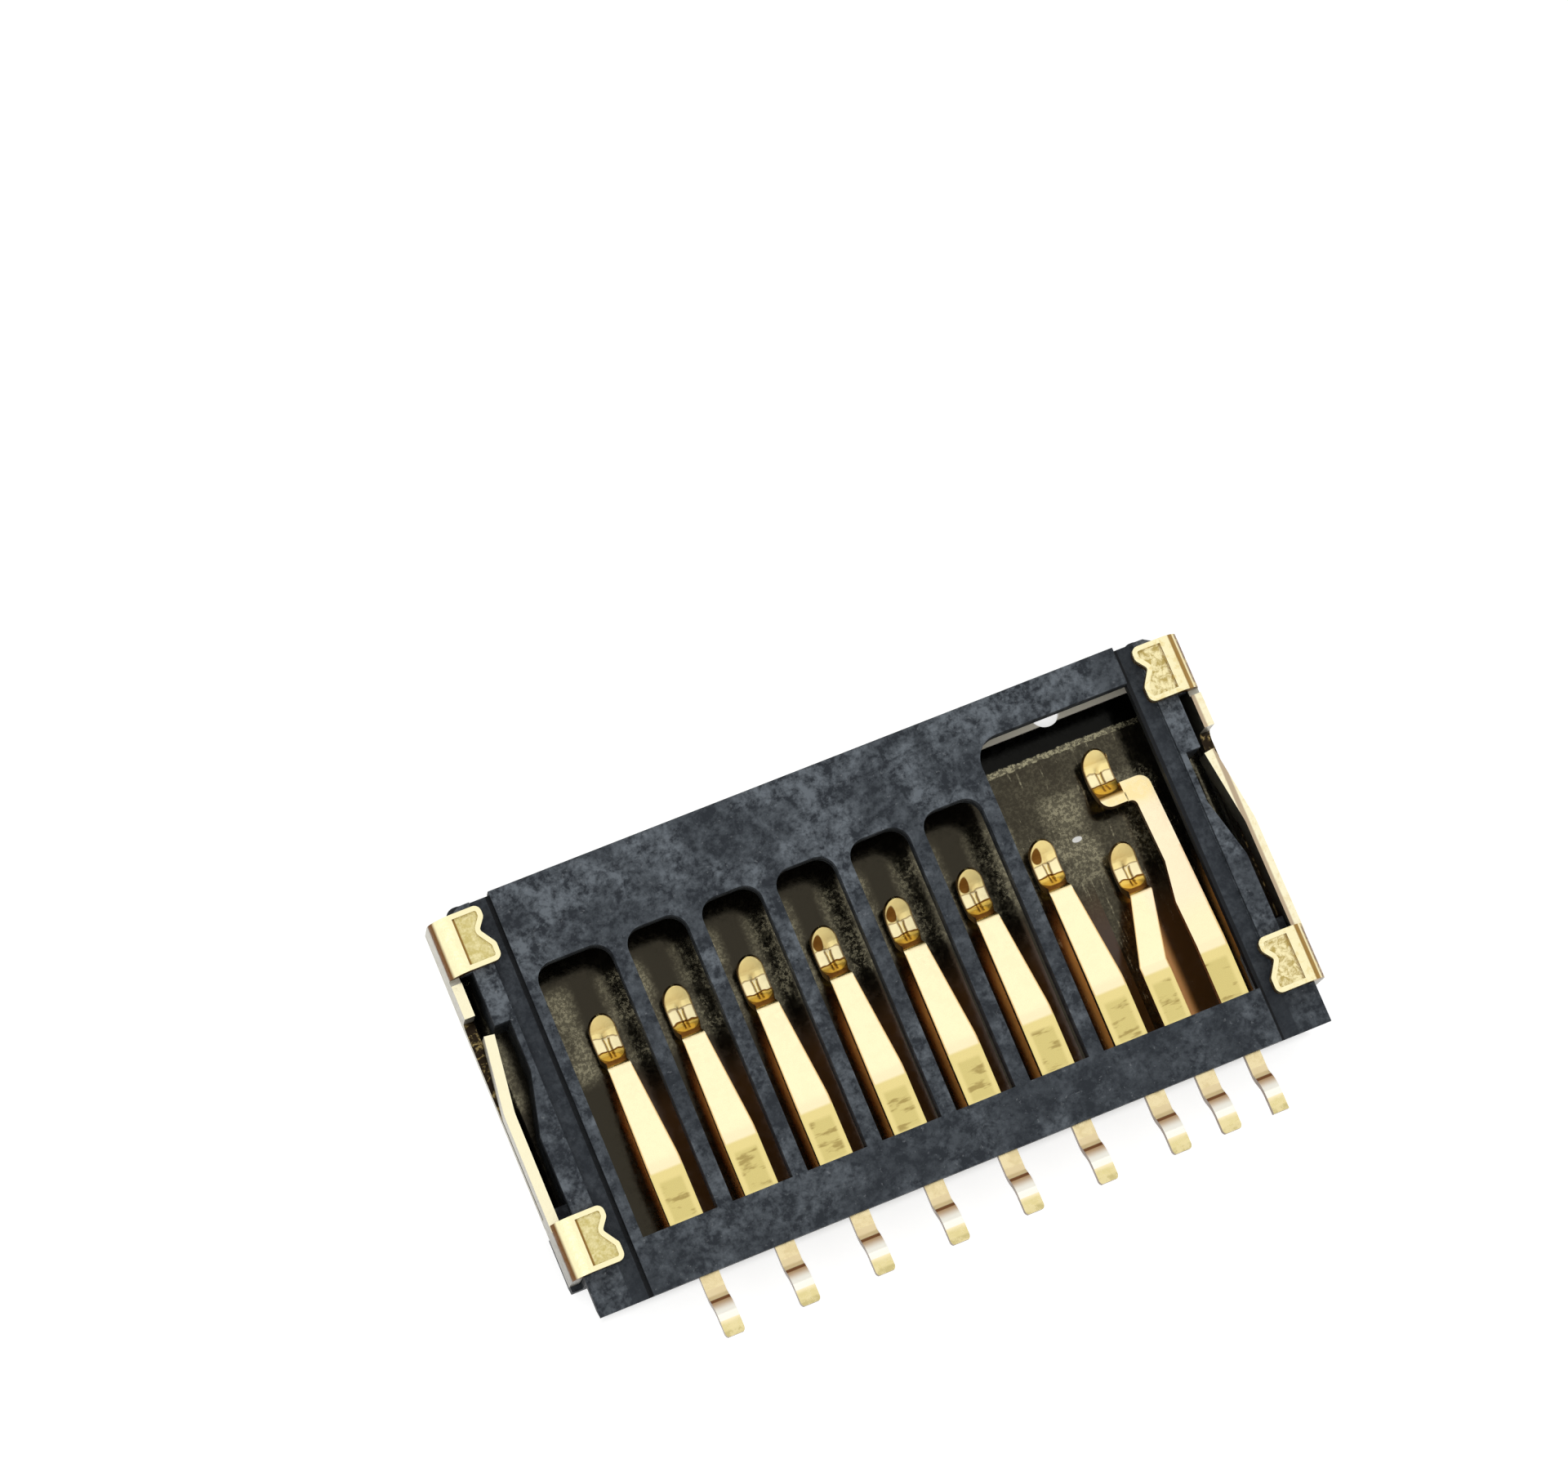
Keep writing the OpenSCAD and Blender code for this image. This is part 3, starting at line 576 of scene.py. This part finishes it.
    # Painted shadow in brown where the spoon drops under the beam's end
    gap_shadow = product(tree, band(tree, from_tip, 0.70, 0.79, 0.015), ramp(tree, z, 0.585, 0.605, 1.0, 0.0))
    face = blend_colours(tree, gap_shadow, face, shade_brown)
    tree.links.new(face, shader.inputs["Base Color"])
    tree.links.new(ramp(tree, near_rise, 0.0, 1.0, 1.0, 0.35), shader.inputs["Metallic"])
    rough = ramp(tree, grains, 0.0, 1.0, 0.22, 0.32)
    rough = maths(tree, "ADD", rough, product(tree, spoon, 0.10))
    rough = maths(tree, "ADD", rough, product(tree, near_rise, 0.25))
    tree.links.new(rough, shader.inputs["Roughness"])
    height = maths(tree, "SUBTRACT", grain.outputs["Height"], product(tree, panel, 0.8))
    height = maths(tree, "SUBTRACT", height, product(tree, spoon_shade, spoon, 0.8))
    set_bump(tree, shader, height, 0.006 * MM, 0.5)
    return material


def shell_material(groups, colours):
    material, tree, shader = new_material("Plated sheet")
    place = use_group(tree, groups["place"])
    x, y, z, up, steep = (place.outputs[a] for a in ("X", "Y", "Z", "Up", "Steep"))
    side = maths(tree, "ABSOLUTE", x)
    where = tree.nodes.new("ShaderNodeTexCoord").outputs["Object"]
    grain = use_group(tree, groups["grain"], Scale=9000.0, Low=0.42, High=0.66)
    grains = grain.outputs["Mask"]
    wrinkles = use_group(tree, groups["wrinkles"], Scale=6500.0, Width=0.06).outputs["Mask"]

    # Walls, springs and folds
    walls = blend_colours(tree, product(tree, grains, 0.4), colours.sheet, (0.36, 0.34, 0.28))
    walls = blend_colours(tree, ramp(tree, y, -2.9, -0.4, 0.65, 0.0), walls, (0.13, 0.12, 0.105))
    cut_edge = product(tree, ramp(tree, z, 0.94, 0.98), ramp(tree, up, 0.6, 0.9))
    walls = blend_colours(tree, cut_edge, walls, (0.96, 0.94, 0.88))
    crinkle = noise(tree, where, 9000.0, 4.0, 0.7, distortion=0.5)
    sheared = product(tree, band(tree, z, *SHEARED_Z, 0.03), ramp(tree, up, 0.1, 0.4))
    torn = blend_colours(tree, ramp(tree, crinkle, 0.52, 0.64), (0.022, 0.014, 0.007), (0.34, 0.25, 0.10))
    walls = blend_colours(tree, sheared, walls, torn)

    # The inner face is dark with painted shade and glossy, and finely scuffed along the slots' sides; a
    # pale ragged line is a painted highlight, and past it the face is near black with painted shade
    fine = ramp(tree, noise(tree, where, 24000.0, 2.0, 0.7), 0.44, 0.62)
    patch = ramp(tree, noise(tree, where, 2600.0, 3.0, 0.6), 0.34, 0.60, 0.35, 1.0)
    pitches = maths(tree, "DIVIDE", maths(tree, "SUBTRACT", x, SLOTS_FROM_X), SLOT_PITCH)
    slot = maths(tree, "SUBTRACT", maths(tree, "FRACT", pitches), 0.5)
    off_slot = maths(tree, "ABSOLUTE", slot)
    beside = product(tree, ramp(tree, off_slot, 0.10, 0.30), band(tree, y, 0.3, 1.3, 0.3))
    scratched = ramp(tree, noise(tree, where, 4200.0, 3.0, 0.7, (3.4, 0.4, 1.0)), 0.56, 0.70)
    in_window = product(tree, ramp(tree, x, *WINDOW_X),
                        strongest(tree, scratched, product(tree, patch, 0.22)))
    ragged = maths(tree, "ADD", y, product(tree, noise(tree, where, 9000.0, 3.0), 0.08))
    # A painted highlight: a pale ragged line across the window
    highlight_line = band(tree, ragged, *HIGHLIGHT_LINE, 0.02)
    scuffed = strongest(tree, product(tree, beside, patch), in_window)
    scuffed = product(tree, scuffed, ramp(tree, ragged, 2.02, 2.08, 1.0, 0.0))
    grit = maths(tree, "ADD", product(tree, fine, 0.7), 0.3)
    scuff = product(tree, strongest(tree, scuffed, highlight_line), grit)
    # Painted shade: past the ragged line the inner face is near black
    inner = blend_colours(tree, ramp(tree, ragged, 2.08, 2.14), colours.sheet_inside_shaded, (0.006, 0.006, 0.005))
    inner = blend_colours(tree, scuff, inner, (0.27, 0.245, 0.16))
    inner = blend_colours(tree, product(tree, highlight_line, fine), inner, (0.36, 0.33, 0.21))

    # Light off the beams tints the sheet under them, and one white flake lies in the window
    under = product(tree, ramp(tree, slot, -0.22, -0.08), ramp(tree, y, -0.8, 0.2, 1.0, 0.0))
    glow = blend_colours(tree, ramp(tree, slot, 0.02, 0.14), (0.95, 0.42, 0.10), (0.09, 0.04, 0.012))
    inner = blend_colours(tree, under, inner, glow)
    flake = spot(tree, x, y, FLAKE, (14.0, 26.0), 0.8, 1.2)
    inner = blend_colours(tree, flake, inner, (1.0, 1.0, 0.96))
    # Painted light: the strip along the far edge, where the inner face turns up, is pale and plain
    lit_edge_strip = band(tree, y, *LIT_EDGE_STRIP, 0.02)
    inner = blend_colours(tree, lit_edge_strip, inner, (1.0, 0.94, 0.78))
    facing_in = product(tree, ramp(tree, up, 0.5, 0.8), ramp(tree, z, 0.2, 0.24, 1.0, 0.0))
    skin = blend_colours(tree, facing_in, walls, inner)

    # The outer face, wrinkled grey inside a bright rim
    outer = blend_colours(tree, product(tree, wrinkles, 0.8), (0.105, 0.105, 0.09), (0.32, 0.32, 0.29))
    rim = strongest(tree, ramp(tree, side, 5.16, 5.26), ramp(tree, y, 2.62, 2.74))
    outer = blend_colours(tree, rim, outer, (0.88, 0.84, 0.74))
    facing_out = ramp(tree, up, -0.5, -0.8)
    skin = blend_colours(tree, facing_out, skin, outer)

    # The solder tabs: painted shade in brown on the fold's shoulder, pale rims and an olive coined face
    # with a groove in painted shade; the right tabs' faces are crinkled, the crinkles partly the plating's
    # own texture and partly painted highlight and shade, with painted shade along their shoulder
    tab = blend_colours(tree, ramp(tree, steep, 0.28, 0.48), (1.0, 0.91, 0.56), (0.15, 0.06, 0.008))
    coined = product(tree, band(tree, z, *COINED_Z, 0.005), ramp(tree, side, 5.27, 5.285, 1.0, 0.0))
    olive = blend_colours(tree, grains, (0.62, 0.52, 0.19), (0.90, 0.81, 0.45))
    crinkled = blend_colours(tree, ramp(tree, crinkle, 0.38, 0.60), (0.50, 0.38, 0.12), (0.98, 0.87, 0.50))
    right = ramp(tree, x, -0.1, 0.1)
    olive = blend_colours(tree, right, olive, crinkled)
    folded = product(tree, right, ramp(tree, crinkle, 0.36, 0.50, 0.6, 0.0))
    tab = blend_colours(tree, folded, tab, (0.84, 0.66, 0.26))
    shoulder_shade = product(tree, right, band(tree, x, *TAB_SHOULDER, 0.025))
    tab = blend_colours(tree, shoulder_shade, tab, (0.34, 0.20, 0.05))
    groove_shade = product(tree, stripe(tree, side, TAB_GROOVE_X, 0.012, 0.018),
                     ramp(tree, x, -0.1, 0.1, 1.0, 0.3))
    olive = blend_colours(tree, groove_shade, olive, (0.30, 0.17, 0.04))
    tab = blend_colours(tree, coined, tab, olive)
    plated = ramp(tree, z, *TOP_Z)
    skin = blend_colours(tree, plated, skin, tab)
    tree.links.new(skin, shader.inputs["Base Color"])
    plain = product(tree, facing_in, strongest(tree, lit_edge_strip, flake, under))
    tree.links.new(ramp(tree, plain, 0.0, 1.0, 0.9, 0.1), shader.inputs["Metallic"])
    rough = ramp(tree, grains, 0.0, 1.0, 0.32, 0.44)
    gloss = product(tree, facing_in, ramp(tree, scuff, 0.0, 1.0, 0.22, 0.05))
    tree.links.new(maths(tree, "SUBTRACT", rough, gloss), shader.inputs["Roughness"])
    height = maths(tree, "ADD", product(tree, grain.outputs["Height"], 0.5),
                   product(tree, wrinkles, facing_out, 0.6))
    height = maths(tree, "ADD", height, product(tree, crinkle, plated, 3.0))
    height = product(tree, height, ramp(tree, facing_in, 0.0, 1.0, 1.0, 0.25))
    set_bump(tree, shader, height, 0.008 * MM, 0.6)
    return material


def finishes():
    """The three finishes, made once and kept for the pieces that share them"""
    if "Slate moulding" not in bpy.data.materials:
        groups = {"place": place_group(), "grain": grain_group(), "wrinkles": wrinkle_group()}
        colours = bpy.context.scene.connector_colours
        moulding_material(groups, colours)
        contact_material(groups, colours)
        shell_material(groups, colours)
    return {"housing_plastic": bpy.data.materials["Slate moulding"],
            "contact_gold": bpy.data.materials["Gold plated strip"],
            "shell_sheet": bpy.data.materials["Plated sheet"]}


# Paths of the strips

def bend_path(corners, step):
    """Points of a path of (y, z, bend radius) corners, with a point every few degrees in each bend"""
    points = [Vector(corners[0][:2])]
    for before, corner, after in zip(corners, corners[1:], corners[2:]):
        a, p, b = (Vector(c[:2]) for c in (before, corner, after))
        u, w = (p - a).normalized(), (b - p).normalized()
        angle = math.atan2(u.x * w.y - u.y * w.x, u.dot(w))
        left = Vector((-u.y, u.x)) * math.copysign(1, angle)
        middle = p - u * corner[2] * math.tan(abs(angle) / 2) + left * corner[2]
        count = max(2, math.ceil(abs(math.degrees(angle)) / step))
        for i in range(count + 1):
            turn = Matrix.Rotation(angle * i / count, 2)
            points.append(middle + turn @ (-left * corner[2]))
    points.append(Vector(corners[-1][:2]))
    return points


def between(table, y):
    """Reads a table of (y, value, value ...) rows at y"""
    for low, high in zip(table, table[1:]):
        if y <= high[0]:
            t = max(0.0, (y - low[0]) / (high[0] - low[0]))
            return [a + (b - a) * t for a, b in zip(low[1:], high[1:])]
    return list(table[-1][1:])


def pick(piece, test):
    """Selects the vertices that pass a test, in edit mode"""
    mesh = bmesh.from_edit_mesh(piece.data)
    for v in mesh.verts:
        v.select = test(v.co)
    mesh.select_flush_mode()
    bmesh.update_edit_mesh(piece.data)


def ribbon(points, widths):
    """Extrudes a row of edges along a path of (y, z), as wide as the (y, middle, half width) table says"""
    (y0, z0), (y1, z1) = points[0], points[1]
    middle, half = between(widths, y0)
    spans = len(COLUMNS) - 1
    deselect()
    bpy.ops.mesh.primitive_grid_add(x_subdivisions=spans, y_subdivisions=1, size=2)
    piece = bpy.context.object
    edit(piece)
    for i, column in enumerate(COLUMNS):
        even = 2 * i / spans - 1
        pick(piece, lambda co: abs(co.x - even) < SMALL)
        bpy.ops.transform.translate(value=(column - even, 0, 0))
    pick(piece, lambda co: co.y < 0)
    bpy.ops.transform.translate(value=(middle, y0 + 1, z0))
    bpy.ops.transform.resize(value=(half, 1, 1), center_override=(middle, y0, z0))
    pick(piece, lambda co: abs(co.z) < SMALL)
    middle_1, half_1 = between(widths, y1)
    bpy.ops.transform.translate(value=(middle_1, y1 - 1, z1))
    bpy.ops.transform.resize(value=(half_1, 1, 1), center_override=(middle_1, y1, z1))
    last = (middle_1, half_1, y1, z1)
    for y, z in points[2:]:
        middle, half = between(widths, y)
        bpy.ops.mesh.extrude_region_move(
            TRANSFORM_OT_translate={"value": (middle - last[0], y - last[2], z - last[3])})
        bpy.ops.transform.resize(value=(half / last[1], 1, 1), center_override=(middle, y, z))
        last = (middle, half, y, z)
    bpy.ops.mesh.select_all(action="SELECT")
    bpy.ops.mesh.normals_make_consistent(inside=False)
    return piece


def press_trough(piece, points, widths, start, end, depth):
    """Lowers the middle columns of the ribbon between two places along it, row by row"""
    for y, z in points:
        share = (y - start) / (end - start)
        if 0 < share < 1:
            middle, half = between(widths, y)
            sink = depth * min(1, share / TROUGH_SLOPE, (1 - share) / TROUGH_SLOPE)
            pick(piece, lambda co: abs(co.y - y) < SMALL and abs(co.x - middle) < half * CHANNEL)
            bpy.ops.transform.translate(value=(0, 0, -sink))


def lay_out_uv(piece, widths, tip_y):
    """Gives the ribbon a UV map that runs across it and along it from the tip"""
    bpy.ops.object.mode_set(mode="OBJECT")
    mesh = piece.data
    while mesh.uv_layers:
        mesh.uv_layers.remove(mesh.uv_layers[0])
    layer = mesh.uv_layers.new(name="Strip")
    for loop in mesh.loops:
        co = mesh.vertices[loop.vertex_index].co
        middle, half = between(widths, co.y)
        layer.data[loop.index].uv = (0.5 + (co.x - middle) / half / 2, 1 - (tip_y - co.y) / UV_SPAN)


def thicken(piece, thick, edge, tip_y):
    """Turns the ribbon into a strip with rounded edges, pressed thinner towards its tip"""
    group = piece.vertex_groups.new(name="Thickness")
    for v in piece.data.vertices:
        group.add([v.index], min(1, TIP_THIN + (1 - TIP_THIN) * (tip_y - v.co.y) / TIP_THIN_LEN), "REPLACE")
    wall = piece.modifiers.new("Strip thickness", "SOLIDIFY")
    wall.vertex_group = group.name
    wall.thickness = thick
    wall.offset = 0
    wall.use_even_offset = True
    apply_modifiers(piece)
    piece.vertex_groups.clear()
    edit(piece)
    bpy.ops.mesh.select_all(action="SELECT")
    bpy.ops.mesh.normals_make_consistent(inside=False)
    bpy.ops.object.mode_set(mode="OBJECT")
    round_edges(piece, edge, STRIP_ANGLE)


# Operators

class CONNECTOR_OT_moulding(bpy.types.Operator):
    """Dresses the black moulding, with rounded edges"""
    bl_idname = "connector.moulding"
    bl_label = "Moulding"

    def execute(self, context):
        piece = merged_copy("housing")
        round_edges(piece, context.scene.connector_edges.moulding / MM, PLAIN_ANGLE)
        finish_piece(piece, "moulding", finishes()["housing_plastic"], ["housing"])
        return {"FINISHED"}


class CONNECTOR_OT_sheet_shell(bpy.types.Operator):
    """Dresses the folded shell, with rounded edges"""
    bl_idname = "connector.sheet_shell"
    bl_label = "Folded shell"

    def execute(self, context):
        piece = merged_copy("shell")
        edit(piece)
        pick(piece, lambda co: (abs(abs(co.x) - SLIT_X) < SLIT_HALF and co.z < SLIT_TOP_Z
                                and SLIT_END_Y < co.y < SLIT_MID_Y + SMALL))
        bpy.ops.transform.translate(value=(0, -SLIT_MORE, 0))
        bpy.ops.object.mode_set(mode="OBJECT")
        round_edges(piece, context.scene.connector_edges.sheet / MM, PLAIN_ANGLE)
        finish_piece(piece, "folded_shell", finishes()["shell_sheet"], ["shell"])
        return {"FINISHED"}


class CONNECTOR_OT_contacts(bpy.types.Operator):
    """Bends the strips from their tails to their spoons"""
    bl_idname = "connector.contacts"
    bl_label = "Contacts"

    def execute(self, context):
        sizes = context.scene.connector_strips
        material = finishes()["contact_gold"]
        first = self.strip(sizes, *self.middle("contact_1"), beam_y=BEAM_Y, shift=0.0, jog=0.0,
                           root_w=sizes.root_w / MM)
        shape = first.data.copy()
        finish_piece(first, "strip_contact_1", material, ["contact_1"])
        start = self.middle("contact_1")[0]
        for node in PLATED[1:]:
            mesh = shape.copy()
            mesh.transform(Matrix.Translation((self.middle(node)[0] - start, 0, 0)))
            piece = bpy.data.objects.new(node, mesh)
            context.scene.collection.objects.link(piece)
            finish_piece(piece, "strip_" + node, material, [node])
        short = self.strip(sizes, SHORT_X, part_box("contact_8")[0].y / MM, beam_y=SHORT_BEAM_Y,
                           shift=-ROOT_SHIFT, jog=SHORT_JOG, root_w=sizes.short_w / MM)
        finish_piece(short, "strip_contact_8", material, ["contact_8"])
        detect = self.detect_strip(sizes)
        finish_piece(detect, "strip_detect_contact", material, ["detect_contact"])
        return {"FINISHED"}

    def middle(self, node):
        low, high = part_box(node)
        return (low.x + high.x) / 2 / MM, low.y / MM

    def strip(self, sizes, x, tail_y, beam_y, shift, jog, root_w):
        thick, dip, span = sizes.thick / MM, sizes.spoon_dip / MM, sizes.spoon_len / MM
        tail_half, root_half = sizes.tail_w / MM / 2, root_w / 2
        beam_half, spoon_half = sizes.beam_w / MM / 2, sizes.spoon_w / MM / 2
        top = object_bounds()[1].z / MM - thick / 2
        drop_z = ROOT_Z - sizes.beam_fall / MM
        tip_y = beam_y + span
        corners = [(tail_y, top, 0), (tail_y + FOOT_LEN, top, FOOT_BEND),
                   (tail_y + FOOT_LEN + STEP_LEN, ROOT_Z, thick), (BEND_Y, ROOT_Z, ROOT_BEND),
                   (beam_y, drop_z, thick), (beam_y + span * DIP_SHARE, drop_z - dip, SPOON_R),
                   (tip_y, drop_z, 0)]
        points = [(p.x, p.y) for p in bend_path(corners, BEND_STEP)]
        widths = [(tail_y + away, x, tail_half * share) for away, share in TAIL_END]
        widths += [(NECK_Y, x, tail_half), (NECK_Y + NECK_STEP, x + shift, root_half),
                   (BEND_Y, x + shift, root_half), (beam_y, x + jog, beam_half),
                   (beam_y + SHOULDER_LEN, x + jog, beam_half * SHOULDER_SHARE),
                   (beam_y + spoon_half, x + jog, spoon_half)]
        widths += self.tip_widths(x + jog, tip_y, spoon_half)
        points = self.with_rows(points, [row[0] for row in widths])
        piece = ribbon(points, widths)
        press_trough(piece, points, widths, beam_y + TROUGH_START, tip_y - TROUGH_END, sizes.trough / MM)
        lay_out_uv(piece, widths, tip_y)
        thicken(piece, thick, sizes.edge / MM, tip_y)
        return piece

    def tip_widths(self, x, tip_y, half):
        """Rows of the width table that round the tip of a spoon"""
        rows = [(tip_y - half, x, half)]
        for i in range(1, TIP_TURNS + 1):
            turn = math.radians(i * TIP_TURN)
            rows.append((tip_y - half * (1 - math.sin(turn)), x, half * math.cos(turn)))
        return rows + [(tip_y + SMALL, x, half * TIP_SHARE)]

    def detect_strip(self, sizes):
        """The card detect strip: a rounded copy as far as its arm, and a spoon bent as the others are"""
        piece = merged_copy("detect_contact")
        low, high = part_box("detect_contact")
        half, thick = sizes.spoon_w / MM / 2, sizes.thick / MM
        x, tip_y = low.x / MM + half, high.y / MM
        for place, way in (((x + half - ARM_LAP, 0, 0), (-1, 0, 0)), ((0, 0, ARM_UNDER_Z), (0, 0, -1))):
            edit(piece)
            bpy.ops.mesh.select_all(action="SELECT")
            bpy.ops.mesh.bisect(plane_co=place, plane_no=way, use_fill=True, clear_outer=True)
            bpy.ops.object.mode_set(mode="OBJECT")
        round_edges(piece, sizes.edge / MM, PLAIN_ANGLE)
        share = DETECT_SPOON * MM / sizes.spoon_len
        fall = sizes.beam_fall / MM / DETECT_LEN
        near_y, y = tip_y - DETECT_REACH - ARM_W, tip_y - DETECT_SPOON
        z = ROOT_Z - (y - BEND_Y) * fall
        corners = [(near_y, z + (y - near_y) * fall, 0), (y, z, thick / 2),
                   (y + DETECT_SPOON * DIP_SHARE, z - sizes.spoon_dip / MM * share, SPOON_R * share),
                   (tip_y, z, 0)]
        widths = self.corner_widths(x, near_y, half) + self.tip_widths(x, tip_y, half)
        points = [(p.x, p.y) for p in bend_path(corners, BEND_STEP)]
        points = self.with_rows(points, [row[0] for row in widths])
        spoon = ribbon(points, widths)
        press_trough(spoon, points, widths, y + TROUGH_START, tip_y - TROUGH_END, sizes.trough / MM)
        lay_out_uv(spoon, widths, tip_y)
        thicken(spoon, thick, sizes.edge / MM, tip_y)
        make_active(piece)
        layer = piece.data.uv_layers.new(name="Strip")
        for loop in piece.data.loops:
            co = piece.data.vertices[loop.vertex_index].co
            layer.data[loop.index].uv = (1 + (co.x - high.x / MM) / DETECT_W, 0)
        spoon.select_set(True)
        bpy.ops.object.join()
        return piece

    def corner_widths(self, x, y, half):
        """Rows of the width table that round the arm's inner corner"""
        rows = []
        for i in range(CORNER_TURNS + 1):
            turn = math.radians(i * CORNER_TURN)
            inset = ARM_R * (1 - math.sin(turn))
            rows.append((y + ARM_R * (1 - math.cos(turn)), x + inset / 2, half - inset / 2))
        return rows

    def with_rows(self, points, places):
        """Adds a row of points at each of the places along the path"""
        rows = list(points)
        for y in places:
            for i in range(len(rows) - 1):
                (ya, za), (yb, zb) = rows[i], rows[i + 1]
                if ya + 2 * SMALL < y < yb - 2 * SMALL:
                    rows.insert(i + 1, (y, za + (zb - za) * (y - ya) / (yb - ya)))
                    break
        return rows


class CONNECTOR_OT_stage(bpy.types.Operator):
    """Places the floor, the soft lamps and the camera"""
    bl_idname = "connector.stage"
    bl_label = "Stage"

    def execute(self, context):
        self.add_camera(context)
        self.add_floor(context)
        for lamp in LAMPS:
            self.add_lamp(*lamp)
        self.set_world(context)
        context.scene.view_settings.view_transform = "Standard"
        return {"FINISHED"}

    def add_camera(self, context):
        data = bpy.data.cameras.new("Camera")
        data.sensor_width = 36.0
        data.sensor_fit = "HORIZONTAL"
        data.lens = CAMERA_LENS
        data.clip_start = 0.001
        data.clip_end = 10.0
        camera = bpy.data.objects.new("Camera", data)
        right, down, forward = Vector(CAMERA_RIGHT), Vector(CAMERA_DOWN), Vector(CAMERA_FORWARD)
        turn = Matrix((right, -down, -forward)).transposed().to_4x4()
        camera.matrix_world = Matrix.Translation(Vector(CAMERA_PLACE) * MM) @ turn
        context.scene.collection.objects.link(camera)
        context.scene.camera = camera

    def add_floor(self, context):
        deselect()
        bpy.ops.mesh.primitive_plane_add(size=FLOOR_SIZE * MM, location=(0, 0, -FLOOR_DROP * MM))
        floor = context.object
        floor.name = "Floor"
        material, tree, shader = new_material("Pale floor")
        shader.inputs["Base Color"].default_value = tuple(context.scene.connector_colours.floor) + (1.0,)
        shader.inputs["Roughness"].default_value = 0.8
        shader.inputs["Specular IOR Level"].default_value = 0.1
        shader.inputs["Emission Color"].default_value = (1, 1, 1, 1)
        rays = tree.nodes.new("ShaderNodeLightPath")
        seen = maths(tree, "MAXIMUM", rays.outputs["Is Camera Ray"], rays.outputs["Is Glossy Ray"])
        where = tree.nodes.new("ShaderNodeTexCoord").outputs["Object"]
        place = put(tree, "ShaderNodeSeparateXYZ", {0: where})
        x, y = (product(tree, place.outputs[a], 1 / MM) for a in "XY")
        aside = ramp(tree, maths(tree, "ABSOLUTE", x), *UNDER_SIDE)
        clear = strongest(tree, aside, ramp(tree, y, *UNDER_NEAR, 1.0, 0.0), ramp(tree, y, *UNDER_FAR))
        tree.links.new(product(tree, seen, clear, FLOOR_GLOW), shader.inputs["Emission Strength"])
        floor.data.materials.append(material)
        floor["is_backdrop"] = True

    def add_lamp(self, name, place, size, brightness):
        """Adds a square lamp that shows in a mirror at the given brightness"""
        data = bpy.data.lights.new(name, "AREA")
        data.shape = "SQUARE"
        data.size = size
        data.energy = brightness * math.pi * size * size
        lamp = bpy.data.objects.new(name, data)
        lamp.location = place
        lamp.rotation_euler = (-Vector(place)).to_track_quat("-Z", "Y").to_euler()
        bpy.context.scene.collection.objects.link(lamp)

    def set_world(self, context):
        world = bpy.data.worlds.new("Soft studio")
        context.scene.world = world
        world.use_nodes = True
        tree = world.node_tree
        back = tree.nodes["Background"]
        rays = tree.nodes.new("ShaderNodeLightPath")
        kinds = ("Is Camera Ray", "Is Glossy Ray", "Is Transmission Ray")
        seen = strongest(tree, *(rays.outputs[kind] for kind in kinds))
        strength = maths(tree, "ADD", product(tree, seen, SEEN_LIGHT), STUDIO_LIGHT)
        tree.links.new(strength, back.inputs["Strength"])
        back.inputs["Color"].default_value = (1, 1, 1, 1)


OPERATORS = (CONNECTOR_OT_moulding, CONNECTOR_OT_sheet_shell, CONNECTOR_OT_contacts, CONNECTOR_OT_stage)


class CONNECTOR_PT_panel(bpy.types.Panel):
    bl_label = "Card connector"
    bl_idname = "CONNECTOR_PT_panel"
    bl_space_type = "VIEW_3D"
    bl_region_type = "UI"
    bl_category = "Connector"

    def draw(self, context):
        for group in ("connector_strips", "connector_edges", "connector_colours"):
            box = self.layout.box()
            values = getattr(context.scene, group)
            for key in values.bl_rna.properties.keys():
                if key not in ("name", "rna_type"):
                    box.prop(values, key)
        for operator in OPERATORS:
            self.layout.operator(operator.bl_idname)


GROUPS = {"connector_strips": StripSizes, "connector_edges": EdgeSizes, "connector_colours": FinishColours}


def register():
    for cls in tuple(GROUPS.values()) + OPERATORS + (CONNECTOR_PT_panel,):
        bpy.utils.register_class(cls)
    for name, cls in GROUPS.items():
        setattr(bpy.types.Scene, name, bpy.props.PointerProperty(type=cls))


def unregister():
    for name in GROUPS:
        delattr(bpy.types.Scene, name)
    for cls in reversed(tuple(GROUPS.values()) + OPERATORS + (CONNECTOR_PT_panel,)):
        bpy.utils.unregister_class(cls)


def main():
    register()
    bpy.ops.connector.stage()
    bpy.ops.connector.moulding()
    bpy.ops.connector.sheet_shell()
    bpy.ops.connector.contacts()


if __name__ == "__main__":
    main()
